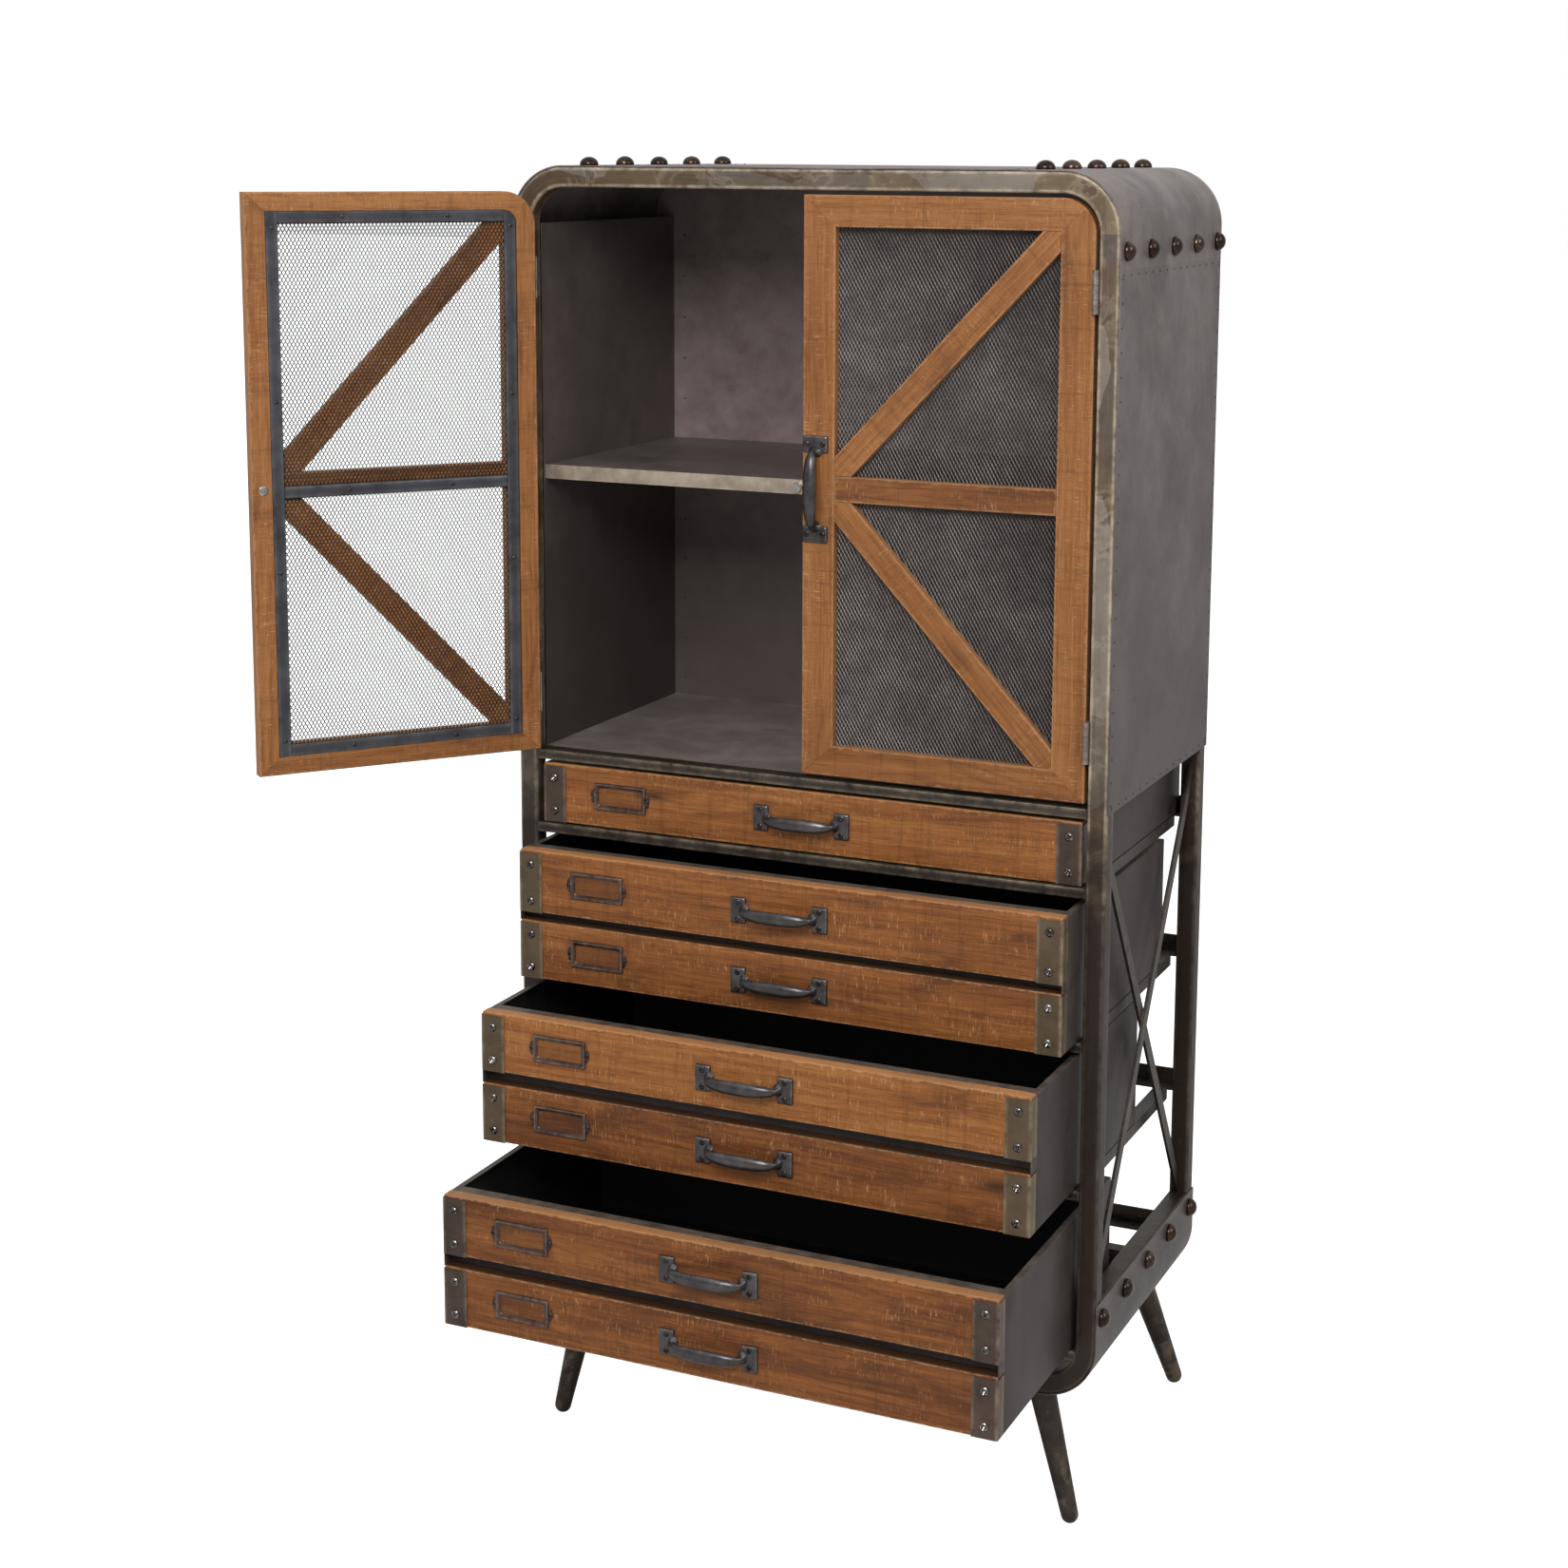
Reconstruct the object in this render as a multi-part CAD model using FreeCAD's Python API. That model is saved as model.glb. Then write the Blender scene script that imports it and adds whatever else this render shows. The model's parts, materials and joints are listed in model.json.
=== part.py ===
"""Tall industrial cabinet: bent steel tube frames and sheet-steel skins, a two-door compartment
with timber and expanded-metal doors, and four steel drawers with timber slat fronts.

Millimetres. The origin is on the floor, at the middle of the carcass's footprint. +Z is up,
the doors and drawers face -Y, and +X is to the right for someone who faces the doors.
The left door stands open and three drawers stand pulled out, which is the stored pose.
"""
import FreeCAD, Part
import math
import os

V = FreeCAD.Vector
X_AXIS = V(1, 0, 0)
Y_AXIS = V(0, 1, 0)
Z_AXIS = V(0, 0, 1)

# ---- carcass ----
WIDTH = 630.0
DEPTH = 330.0
HEIGHT = 1300.0
FRAME_BOTTOM = 123.0
TUBE = 20.0
TUBE_WALL = 1.5
TUBE_EDGE_R = 2.5
CORNER_R = 56.0
SKIN = 1.2
SHEET = 1.0
HALF_W = WIDTH / 2
FRONT = -DEPTH / 2
BACK = DEPTH / 2
INNER_X = HALF_W - TUBE
INNER_FRONT = FRONT + TUBE
INNER_BACK = BACK - TUBE

WRAP_REACH_TOP = 95.0
WRAP_REACH_SIDE = 88.0
SIDE_PANEL_BOTTOM = 707.0
BOTTOM_WRAP_TOP = 222.0

COMPARTMENT_FLOOR = 711.2
SHELF_TOP = 1001.6
SHELF_LIP = 14.4
SHELF_SETBACK = 22.0

# ---- drawer tiers: the level that each drawer slides on ----
SLIDE_LEVELS = [634.3, 482.8, 335.3, 172.2]
BAR_HEIGHT = 10.0
BAR_DEPTH = 20.0
ANGLE = 18.0
ANGLE_T = 2.0
RUNNER_DROP = 12.0
RUNNER_LEDGE = 14.0

# ---- rivets, rails, braces and legs ----
RIVET_R = 9.5
RIVET_H = 9.0
RIVET_SHANK_R = 3.0
RIVETS_PER_ROW = 5
RIVET_FIRST_Y = 16.0
RIVET_TOP_INSET = 78.0
RIVET_UPPER_Z = 1228.6
RIVET_LOWER_Z = 205.2
BRACE_WIDTH = 13.0
BRACE_T = 3.0
BRACE_X = 302.0
BRACE_TOP_Z = 700.0
BRACE_BOTTOM_Z = 215.0
LEG_TOP_R = 13.5
LEG_TIP_R = 8.6
LEG_TIP_Z = 7.0
# Each leg's top centre and sole centre. They are welded on by eye and splay unevenly.
LEG_PLACES = [
    ((253.0, -141.0), (295.0, -170.0)),
    ((-253.0, -141.0), (-266.0, -176.0)),
    ((264.0, 143.0), (302.0, 160.0)),
    ((-260.0, 143.0), (-298.0, 162.0)),
]

# ---- doors ----
DOOR_GAP_SIDE = 3.5
DOOR_MEETING_GAP = 4.0
DOOR_TOP = 1276.0
DOOR_BOTTOM = 716.0
DOOR_T = 15.0
STILE = 33.0
RAIL = 30.0
MID_RAIL = 25.0
BRACE_BAND = 25.0
MID_Z = 997.5
REBATE_W = 13.5
REBATE_D = 5.0
MESH_T = 0.8
RETAINER_W = 12.0
RETAINER_T = 3.0
LEFT_DOOR_OPEN_DEG = 129.0
HINGE_Z = (1192.0, 775.0)
HINGE_H = 40.0
KNUCKLE_R = 3.2
PIN_R = 1.5
PIN_CLEARANCE = 0.05
LEAF_T = 1.2
LEAF_REACH = 18.0
STRIKE_R = 4.5
STRIKE_T = 1.2
CATCH_R = 5.0
CATCH_Z = 994.4
STRIKE_INSET = 11.0

# ---- drawers ----
DRAWER_HALF_W = 290.0
DRAWER_RECESS = 4.0
DRAWER_LIFT = 1.2
DRAWER_BACK = BACK - 4.0
SLAT_T = 14.0
LOWER_SLAT = 61.0
UPPER_SLAT = 65.0
SINGLE_SLAT = 61.5
SLAT_GAP = 8.0
PLATE_W = 26.0
PLATE_T = 1.2
RIM = 6.5
FRONT_RIM = 14.0
DRAWER_PULLS = [0.0, 51.0, 129.0, 206.0]
LABEL_X = -201.5

# ---- small hardware ----
HANDLE_L = 103.0
HANDLE_PLATE = (16.0, 26.0)
HANDLE_PLATE_T = 3.0
HANDLE_OUT = 27.0
HANDLE_DROP = 0.0
HANDLE_R = 4.2
SCREW_HEAD_R = 3.9
SCREW_HEAD_H = 2.2
SCREW_SHANK_R = 1.6
SCREW_SHANK_L = 11.0
SCREW_CLEARANCE = 0.05
LABEL_SCREW_R = 2.3
LABEL_SCREW_H = 1.4
LABEL_W = 59.0
LABEL_H = 28.0
LABEL_WINDOW = (49.0, 18.0)
LABEL_T = 1.6
LABEL_EAR = 5.0

nodes = {}


def box(x0, x1, y0, y1, z0, z1):
    """A block between two corners."""
    return Part.makeBox(x1 - x0, y1 - y0, z1 - z0, V(x0, y0, z0))


def mirror_x(shape):
    return shape.mirror(V(0, 0, 0), X_AXIS)


def both_sides(shapes):
    return shapes + [mirror_x(s) for s in shapes]


def prism_y(points, y0, y1):
    """A prism along Y from a closed outline of (x, z) points."""
    loop = [V(x, y0, z) for x, z in points]
    return Part.Face(Part.makePolygon(loop + loop[:1])).extrude(V(0, y1 - y0, 0))


def bent_sheet(cx, cz, radius, thickness, start_deg, y0, y1):
    """A quarter bend of sheet about (cx, cz), from start_deg to start_deg + 90 in the XZ plane."""
    def at(r, deg):
        a = math.radians(deg)
        return V(cx + r * math.cos(a), y0, cz + r * math.sin(a))
    outer = radius + thickness
    end_deg = start_deg + 90
    mid_deg = start_deg + 45
    edges = [
        Part.Arc(at(radius, start_deg), at(radius, mid_deg), at(radius, end_deg)).toShape(),
        Part.makeLine(at(radius, end_deg), at(outer, end_deg)),
        Part.Arc(at(outer, end_deg), at(outer, mid_deg), at(outer, start_deg)).toShape(),
        Part.makeLine(at(outer, start_deg), at(radius, start_deg)),
    ]
    return Part.Face(Part.Wire(edges)).extrude(V(0, y1 - y0, 0))


def rounded_square(side, radius, centre, u, v):
    """A square wire with rounded corners, centred on a point, in the plane of u and v."""
    h = side / 2
    k = h - radius
    d = radius * math.sqrt(0.5)

    def at(a, b):
        return centre + u * a + v * b
    edges = []
    for i in range(4):
        c, s = [(1, 0), (0, 1), (-1, 0), (0, -1)][i]
        p0 = at(h * c + k * s, h * s - k * c)
        p1 = at(h * c - k * s, h * s + k * c)
        corner = (k * c - k * s, k * s + k * c)
        mid = at(corner[0] + d * (c - s), corner[1] + d * (s + c))
        p2 = at(k * c - h * s, k * s + h * c)
        edges.append(Part.makeLine(p0, p1))
        edges.append(Part.Arc(p1, mid, p2).toShape())
    return Part.Wire(edges)


def tube_sections(centre, u, v):
    """The outer and inner faces of the square tube's section."""
    outer = Part.Face(rounded_square(TUBE, TUBE_EDGE_R, centre, u, v))
    inner = Part.Face(rounded_square(TUBE - 2 * TUBE_WALL, TUBE_EDGE_R - TUBE_WALL, centre, u, v))
    return outer, inner


def straight_tube(start, direction, length):
    u = Y_AXIS
    v = direction.cross(u)
    outer, inner = tube_sections(start, u, v)
    return outer.extrude(direction * length).cut(inner.extrude(direction * length))


def tube_bend(rail_end, centre, degrees):
    """A quarter bend that starts at the end of a rail along X and turns about a Y axis."""
    outer, inner = tube_sections(rail_end, Y_AXIS, Z_AXIS)
    return outer.revolve(centre, Y_AXIS, degrees).cut(inner.revolve(centre, Y_AXIS, degrees))


def tube_frame(y_centre):
    """One rounded rectangular frame: two posts, two rails and four bends, butted end to end."""
    post_x = HALF_W - TUBE / 2
    low = FRAME_BOTTOM + TUBE / 2
    high = HEIGHT - TUBE / 2
    bend = CORNER_R - TUBE / 2
    rail_x = post_x - bend
    pieces = []
    for x in (-post_x, post_x):
        pieces.append(straight_tube(V(x, y_centre, low + bend), Z_AXIS, high - low - 2 * bend))
    for z in (low, high):
        pieces.append(straight_tube(V(-rail_x, y_centre, z), X_AXIS, 2 * rail_x))
    for x in (-rail_x, rail_x):
        for z, turn in ((low, -90), (high, 90)):
            centre_z = z + bend if z == low else z - bend
            degrees = turn if x > 0 else -turn
            pieces.append(tube_bend(V(x, y_centre, z), V(x, y_centre, centre_z), degrees))
    return pieces


def rivet_ys():
    pitch = (DEPTH - 2 * RIVET_FIRST_Y) / (RIVETS_PER_ROW - 1)
    return [FRONT + RIVET_FIRST_Y + i * pitch for i in range(RIVETS_PER_ROW)]


def dome_rivet(seat, out):
    """A dome head on a short shank that fills its hole in the skin."""
    sphere_r = (RIVET_R ** 2 + RIVET_H ** 2) / (2 * RIVET_H)
    ball = Part.makeSphere(sphere_r, seat + out * (RIVET_H - sphere_r))
    cap = ball.common(Part.makeCylinder(RIVET_R, RIVET_H + 1, seat, out))
    return cap.fuse(Part.makeCylinder(RIVET_SHANK_R, SKIN, seat, out * -1)).removeSplitter()


def rivet_seats():
    """Every rivet's seat on the skins and its outward direction, for the right side."""
    seats = []
    for y in rivet_ys():
        seats.append((V(HALF_W - RIVET_TOP_INSET, y, HEIGHT + SKIN), Z_AXIS))
        seats.append((V(HALF_W + SKIN, y, RIVET_UPPER_Z), X_AXIS))
        seats.append((V(HALF_W + SKIN, y, RIVET_LOWER_Z), X_AXIS))
    return seats


def drill_rivets(pieces):
    holes = []
    for seat, out in rivet_seats():
        hole = Part.makeCylinder(RIVET_SHANK_R + SCREW_CLEARANCE, 4 * SKIN, seat + out * SKIN, out * -1)
        holes.append(hole)
    holes = Part.makeCompound(holes)
    return [p.cut(holes) for p in pieces]


def top_corner_wrap():
    """The right-hand sheet over a top corner: a flat, a bend and a flat."""
    cx = HALF_W - CORNER_R
    cz = HEIGHT - CORNER_R
    top = box(HALF_W - WRAP_REACH_TOP, cx, FRONT, BACK, HEIGHT, HEIGHT + SKIN)
    side = box(HALF_W, HALF_W + SKIN, FRONT, BACK, HEIGHT - WRAP_REACH_SIDE, cz)
    return drill_rivets([top, bent_sheet(cx, cz, CORNER_R, SKIN, 0, FRONT, BACK), side])


def bottom_corner_wrap():
    """The right-hand sheet round a bottom corner."""
    cx = HALF_W - CORNER_R
    cz = FRAME_BOTTOM + CORNER_R
    under = box(HALF_W - WRAP_REACH_TOP, cx, FRONT, BACK, FRAME_BOTTOM - SKIN, FRAME_BOTTOM)
    side = box(HALF_W, HALF_W + SKIN, FRONT, BACK, cz, BOTTOM_WRAP_TOP)
    return drill_rivets([under, bent_sheet(cx, cz, CORNER_R, SKIN, -90, FRONT, BACK), side])


def back_panel():
    """The compartment's back, with its top corners cut to the frame's outer corners."""
    low = COMPARTMENT_FLOOR - BAR_HEIGHT
    y0 = INNER_BACK - SHEET
    cz = HEIGHT - CORNER_R
    lower = box(-HALF_W, HALF_W, y0, INNER_BACK, low, cz)
    upper = box(-HALF_W + CORNER_R, HALF_W - CORNER_R, y0, INNER_BACK, cz, HEIGHT)
    panel = lower.fuse(upper)
    for x in (-HALF_W + CORNER_R, HALF_W - CORNER_R):
        panel = panel.fuse(Part.makeCylinder(CORNER_R, SHEET, V(x, y0, cz), Y_AXIS))
    return panel.removeSplitter()


def inner_walls():
    wall = box(INNER_X - SHEET, INNER_X, INNER_FRONT, INNER_BACK - SHEET, COMPARTMENT_FLOOR,
               HEIGHT - CORNER_R)
    return both_sides([wall])


def compartment_floor():
    return box(-HALF_W, HALF_W, INNER_FRONT, INNER_BACK - SHEET, COMPARTMENT_FLOOR - SHEET,
               COMPARTMENT_FLOOR)


def shelf():
    """A tray of sheet, folded down at the front and the back."""
    x = INNER_X - SHEET
    y0 = FRONT + SHELF_SETBACK
    y1 = INNER_BACK - SHEET
    plate = box(-x, x, y0, y1, SHELF_TOP - SHEET, SHELF_TOP)
    front_lip = box(-x, x, y0, y0 + SHEET, SHELF_TOP - SHELF_LIP, SHELF_TOP - SHEET)
    back_lip = box(-x, x, y1 - SHEET, y1, SHELF_TOP - SHELF_LIP, SHELF_TOP - SHEET)
    return [plate, front_lip, back_lip]


def frame_opening():
    """The space inside the tube frames, with its two rounded lower corners."""
    radius = CORNER_R - TUBE
    low = FRAME_BOTTOM + TUBE
    space = box(-INNER_X, INNER_X, FRONT, BACK, low + radius, HEIGHT)
    space = space.fuse(box(-INNER_X + radius, INNER_X - radius, FRONT, BACK, low, low + radius))
    for x in (-INNER_X + radius, INNER_X - radius):
        space = space.fuse(Part.makeCylinder(radius, DEPTH, V(x, FRONT, low + radius), Y_AXIS))
    return space.removeSplitter()


def front_crossbars():
    levels = [COMPARTMENT_FLOOR] + SLIDE_LEVELS
    space = frame_opening()
    return [box(-INNER_X, INNER_X, FRONT, FRONT + BAR_DEPTH, z - BAR_HEIGHT, z).common(space)
            for z in levels]


def back_crossbars():
    """A bar behind the compartment's floor, then an angle for each drawer: a ledge under its
    back edge and an upright that stops it."""
    space = frame_opening()
    bars = [box(-INNER_X, INNER_X, INNER_BACK, BACK, COMPARTMENT_FLOOR - BAR_HEIGHT,
                COMPARTMENT_FLOOR)]
    for z in SLIDE_LEVELS:
        ledge = box(-INNER_X, INNER_X, INNER_BACK, BACK - ANGLE_T, z - ANGLE_T, z)
        upright = box(-INNER_X, INNER_X, BACK - ANGLE_T, BACK, z - ANGLE_T, z + ANGLE - ANGLE_T)
        bars.append(ledge.fuse(upright).common(space).removeSplitter())
    return bars


def drawer_runners():
    """An angle runner on each side of every drawer, from the front bar to the back bar."""
    runners = []
    y0 = FRONT + BAR_DEPTH
    for z in SLIDE_LEVELS:
        outer = DRAWER_HALF_W
        web = box(outer - ANGLE_T, outer, y0, INNER_BACK, z - RUNNER_DROP, z)
        ledge = box(outer - RUNNER_LEDGE, outer - ANGLE_T, y0, INNER_BACK, z - ANGLE_T, z)
        runners.append(web.fuse(ledge).removeSplitter())
    return both_sides(runners)


def side_rails():
    rails = []
    for x in (-HALF_W + TUBE / 2, HALF_W - TUBE / 2):
        centre = V(x, INNER_FRONT, BOTTOM_WRAP_TOP - TUBE / 2)
        outer, inner = tube_sections(centre, X_AXIS, Z_AXIS)
        run = V(0, INNER_BACK - INNER_FRONT, 0)
        rails.append(outer.extrude(run).cut(inner.extrude(run)))
    return rails


def cross_braces():
    """Two flat bars on each side, crossing as an X, cut to butt against the posts."""
    bars = []
    room = box(0, HALF_W, INNER_FRONT, INNER_BACK, BOTTOM_WRAP_TOP, COMPARTMENT_FLOOR - SHEET)
    y_end = BACK - TUBE / 2
    rise = BRACE_TOP_Z - BRACE_BOTTOM_Z
    length = math.hypot(2 * y_end, rise) + 2 * BRACE_WIDTH
    tilt = math.degrees(math.atan2(rise, 2 * y_end))
    mid_z = (BRACE_TOP_Z + BRACE_BOTTOM_Z) / 2
    for side, sign in ((0, -1), (1, 1)):
        x0 = BRACE_X + side * BRACE_T
        bar = box(x0, x0 + BRACE_T, -length / 2, length / 2, -BRACE_WIDTH / 2, BRACE_WIDTH / 2)
        bar.rotate(V(0, 0, 0), X_AXIS, sign * tilt)
        bar.translate(V(0, 0, mid_z))
        bars.append(bar.common(room))
    return bars


def leg(top_xy, tip_xy):
    """A tapered splayed leg, cut level under the frame, with a rounded foot and a flat sole."""
    top_z = FRAME_BOTTOM - SKIN
    top = V(*top_xy, top_z)
    tip = V(*tip_xy, LEG_TIP_Z)
    run = top - tip
    over = 1.15
    flare = LEG_TIP_R + (LEG_TOP_R - LEG_TIP_R) * over
    cone = Part.makeCone(LEG_TIP_R, flare, run.Length * over, tip, run)
    body = cone.fuse(Part.makeSphere(LEG_TIP_R, tip))
    room = box(-WIDTH, WIDTH, -WIDTH, WIDTH, 0, top_z)
    return body.common(room).removeSplitter()


def legs():
    return [leg(top_xy, tip_xy) for top_xy, tip_xy in LEG_PLACES]


def screw(seat, out, head_r=SCREW_HEAD_R, head_h=SCREW_HEAD_H):
    """A pan-head screw: its head on the seat and its shank behind it."""
    ball_r = (head_r ** 2 + head_h ** 2) / (2 * head_h)
    ball = Part.makeSphere(ball_r, seat + out * (head_h - ball_r))
    head = ball.common(Part.makeCylinder(head_r, head_h + 1, seat, out))
    return head.fuse(Part.makeCylinder(SCREW_SHANK_R, SCREW_SHANK_L, seat, out * -1)).removeSplitter()


def drill(shape, seats, out):
    """Cut the screws' clearance holes."""
    reach = SCREW_SHANK_L + 0.5
    holes = [Part.makeCylinder(SCREW_SHANK_R + SCREW_CLEARANCE, reach + 8, s + out * 8, out * -1)
             for s in seats]
    return shape.cut(Part.makeCompound(holes))


def handle():
    """A cast pull with two screw plates: its length along X, its grip towards -Y and drooping."""
    half = HANDLE_L / 2
    plate_w, plate_h = HANDLE_PLATE
    plates = []
    for sign in (-1, 1):
        cx = sign * (half - plate_w / 2)
        plates.append(box(cx - plate_w / 2, cx + plate_w / 2, -HANDLE_PLATE_T, 0, -plate_h / 2,
                          plate_h / 2))
    root = half - plate_w / 2
    start = V(-root, -HANDLE_PLATE_T / 2, 0)
    middle = V(0, -HANDLE_OUT + HANDLE_R, -HANDLE_DROP)
    end = V(root, -HANDLE_PLATE_T / 2, 0)
    path = Part.Arc(start, middle, end)
    tangent = V(*path.tangent(path.FirstParameter)[0])
    ring = Part.Wire(Part.makeCircle(HANDLE_R, start, tangent))
    grip = Part.Wire(path.toShape()).makePipeShell([ring], True, False)
    grip = grip.common(box(-half, half, -2 * HANDLE_OUT, 0, -plate_h, plate_h))
    solid = grip
    for plate in plates:
        solid = solid.fuse(plate)
    return solid.removeSplitter()


def handle_screw_seats():
    """The four screw seats on a handle's plates, in the handle's own frame."""
    plate_w, plate_h = HANDLE_PLATE
    x = HANDLE_L / 2 - plate_w / 2
    z = plate_h / 2 - SCREW_HEAD_R - 0.6
    return [V(sx * x, -HANDLE_PLATE_T, sz * z) for sx in (-1, 1) for sz in (-1, 1)]


def label_holder():
    """A pressed label frame with a window and a small screw ear at each end."""
    w, h = LABEL_W / 2, LABEL_H / 2
    ww, wh = LABEL_WINDOW[0] / 2, LABEL_WINDOW[1] / 2
    plate = box(-w, w, -LABEL_T, 0, -h, h)
    for sign in (-1, 1):
        ear = Part.makeCylinder(LABEL_EAR, LABEL_T, V(sign * w, -LABEL_T, 0), Y_AXIS)
        plate = plate.fuse(ear)
    window = box(-ww, ww, -LABEL_T - 1, 1, -wh, wh)
    return plate.removeSplitter().cut(window)


def label_screw_seats():
    return [V(sign * (LABEL_W / 2 + 1.6), -LABEL_T, 0) for sign in (-1, 1)]


def moved(shape, x, y, z):
    copy = shape.copy()
    copy.translate(V(x, y, z))
    return copy


def slat_levels(index):
    """The bottom and top of each slat on a drawer, lowest first."""
    low = SLIDE_LEVELS[index] + DRAWER_LIFT
    if index == 0:
        return [(low, low + SINGLE_SLAT)]
    second = low + LOWER_SLAT + SLAT_GAP
    return [(low, low + LOWER_SLAT), (second, second + UPPER_SLAT)]


def drawer_box(low, high, y0):
    """Five sheets: a bottom and four walls, each wall folded in to a narrow rim."""
    x = DRAWER_HALF_W
    y1 = DRAWER_BACK
    under = high - SHEET
    bottom = box(-x + SHEET, x - SHEET, y0, y1, low, low + SHEET)
    back = box(-x + SHEET, x - SHEET, y1 - SHEET, y1, low + SHEET, high)
    back = back.fuse(box(-x + RIM, x - RIM, y1 - RIM, y1 - SHEET, under, high))
    front = box(-x + SHEET, x - SHEET, y0, y0 + SHEET, low + SHEET, high)
    front = front.fuse(box(-x + RIM, x - RIM, y0 + SHEET, y0 + FRONT_RIM, under, high))
    side = box(x - SHEET, x, y0, y1, low, high)
    side = side.fuse(box(x - RIM, x - SHEET, y0 + SHEET, y1 - SHEET, under, high))
    walls = [wall.removeSplitter() for wall in (back, front, side)]
    return [bottom] + walls[:2] + both_sides(walls[2:])


def corner_plate(low, high, y_face):
    """An angle plate over a slat's right end."""
    x = DRAWER_HALF_W
    face = box(x - PLATE_W, x, y_face, y_face + PLATE_T, low, high)
    return face.fuse(box(x - PLATE_T, x, y_face + PLATE_T, y_face + PLATE_T + SLAT_T, low, high))


def make_drawer(index):
    """One drawer, built shut and then slid out to its stored place."""
    name = "drawer_%d" % (index + 1)
    y_face = FRONT + DRAWER_RECESS
    y_wood = y_face + PLATE_T
    slats = slat_levels(index)
    out = Y_AXIS * -1
    groups = {"box": [], "fronts": [], "corner_plates": [], "handles": [], "label_holders": [],
              "screws": []}
    groups["box"] = drawer_box(slats[0][0], slats[-1][1] - 1.5, y_wood + SLAT_T)
    for low, high in slats:
        mid = (low + high) / 2
        plate_top = high - 3.0
        wood = box(-DRAWER_HALF_W + PLATE_T, DRAWER_HALF_W - PLATE_T, y_wood, y_wood + SLAT_T,
                   low, high)
        handle_at = V(0, y_wood, mid - 1)
        label_at = V(LABEL_X, y_wood, mid + 1)
        plate_seats = [V(sx * (DRAWER_HALF_W - PLATE_W / 2), y_face, z)
                       for sx in (-1, 1) for z in (low + 12, plate_top - 12)]
        handle_seats = [s + handle_at for s in handle_screw_seats()]
        label_seats = [s + label_at for s in label_screw_seats()]
        wood = drill(wood, plate_seats + handle_seats + label_seats, out)
        groups["fronts"].append(wood)
        for piece in both_sides([corner_plate(low, plate_top, y_face)]):
            groups["corner_plates"].append(drill(piece, plate_seats, out))
        groups["handles"].append(drill(moved(handle(), *handle_at), handle_seats, out))
        groups["label_holders"].append(drill(moved(label_holder(), *label_at), label_seats, out))
        groups["screws"] += [screw(seat, out) for seat in plate_seats + handle_seats]
        groups["screws"] += [screw(seat, out, LABEL_SCREW_R, LABEL_SCREW_H)
                             for seat in label_seats]
    for group, shapes in groups.items():
        nodes["%s_%s" % (name, group)] = [moved(s, 0, -DRAWER_PULLS[index], 0) for s in shapes]


# ---- doors, built shut on the right-hand side ----
DOOR_X0 = DOOR_MEETING_GAP / 2
DOOR_X1 = INNER_X - DOOR_GAP_SIDE
HINGE_X = INNER_X - DOOR_GAP_SIDE / 2
HINGE_Y = FRONT - KNUCKLE_R


def door_frame():
    """Two stiles and two rails with mitred corners, a rebate inside and one rounded corner."""
    y0 = FRONT
    y1 = FRONT + DOOR_T
    ox0, ox1, oz0, oz1 = DOOR_X0, DOOR_X1, DOOR_BOTTOM, DOOR_TOP
    ix0, ix1, iz0, iz1 = ox0 + STILE, ox1 - STILE, oz0 + RAIL, oz1 - RAIL
    members = [
        prism_y([(ox0, oz0), (ix0, iz0), (ix0, iz1), (ox0, oz1)], y0, y1),
        prism_y([(ox1, oz0), (ix1, iz0), (ix1, iz1), (ox1, oz1)], y0, y1),
        prism_y([(ox0, oz0), (ox1, oz0), (ix1, iz0), (ix0, iz0)], y0, y1),
        prism_y([(ox0, oz1), (ox1, oz1), (ix1, iz1), (ix0, iz1)], y0, y1),
    ]
    rebate = box(ix0 - REBATE_W, ix1 + REBATE_W, y1 - REBATE_D, y1 + 1, iz0 - REBATE_W,
                 iz1 + REBATE_W)
    radius = CORNER_R - TUBE - DOOR_GAP_SIDE
    cx, cz = ox1 - radius, oz1 - radius
    waste = box(cx, ox1 + 1, y0 - 1, y1 + 1, cz, oz1 + 1)
    waste = waste.cut(Part.makeCylinder(radius, DOOR_T + 2, V(cx, y0 - 1, cz), Y_AXIS))
    return [m.cut(rebate).cut(waste) for m in members]


def door_opening():
    """The inner edges of the door's frame: x0, x1, z0, z1."""
    return DOOR_X0 + STILE, DOOR_X1 - STILE, DOOR_BOTTOM + RAIL, DOOR_TOP - RAIL


def diagonal(x0, z0, x1, z1):
    """A band of timber between two points, in the plane of the door."""
    dx, dz = x1 - x0, z1 - z0
    length = math.hypot(dx, dz)
    ex, ez = dx / length, dz / length
    nx, nz = -ez * BRACE_BAND / 2, ex * BRACE_BAND / 2
    x0, z0 = x0 - ex * BRACE_BAND, z0 - ez * BRACE_BAND
    x1, z1 = x1 + ex * BRACE_BAND, z1 + ez * BRACE_BAND
    outline = [(x0 + nx, z0 + nz), (x1 + nx, z1 + nz), (x1 - nx, z1 - nz), (x0 - nx, z0 - nz)]
    return prism_y(outline, FRONT, FRONT + DOOR_T - REBATE_D)


def door_braces():
    """The mid rail and the two diagonals that meet at the free stile."""
    ix0, ix1, iz0, iz1 = door_opening()
    y0, y1 = FRONT, FRONT + DOOR_T - REBATE_D
    z_low, z_high = MID_Z - MID_RAIL / 2, MID_Z + MID_RAIL / 2
    mid = box(ix0, ix1, y0, y1, z_low, z_high)
    upper = diagonal(ix0, z_high, ix1, iz1).common(box(ix0, ix1, y0, y1, z_high, iz1))
    lower = diagonal(ix0, z_low, ix1, iz0).common(box(ix0, ix1, y0, y1, iz0, z_low))
    return [mid, upper, lower]


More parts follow.
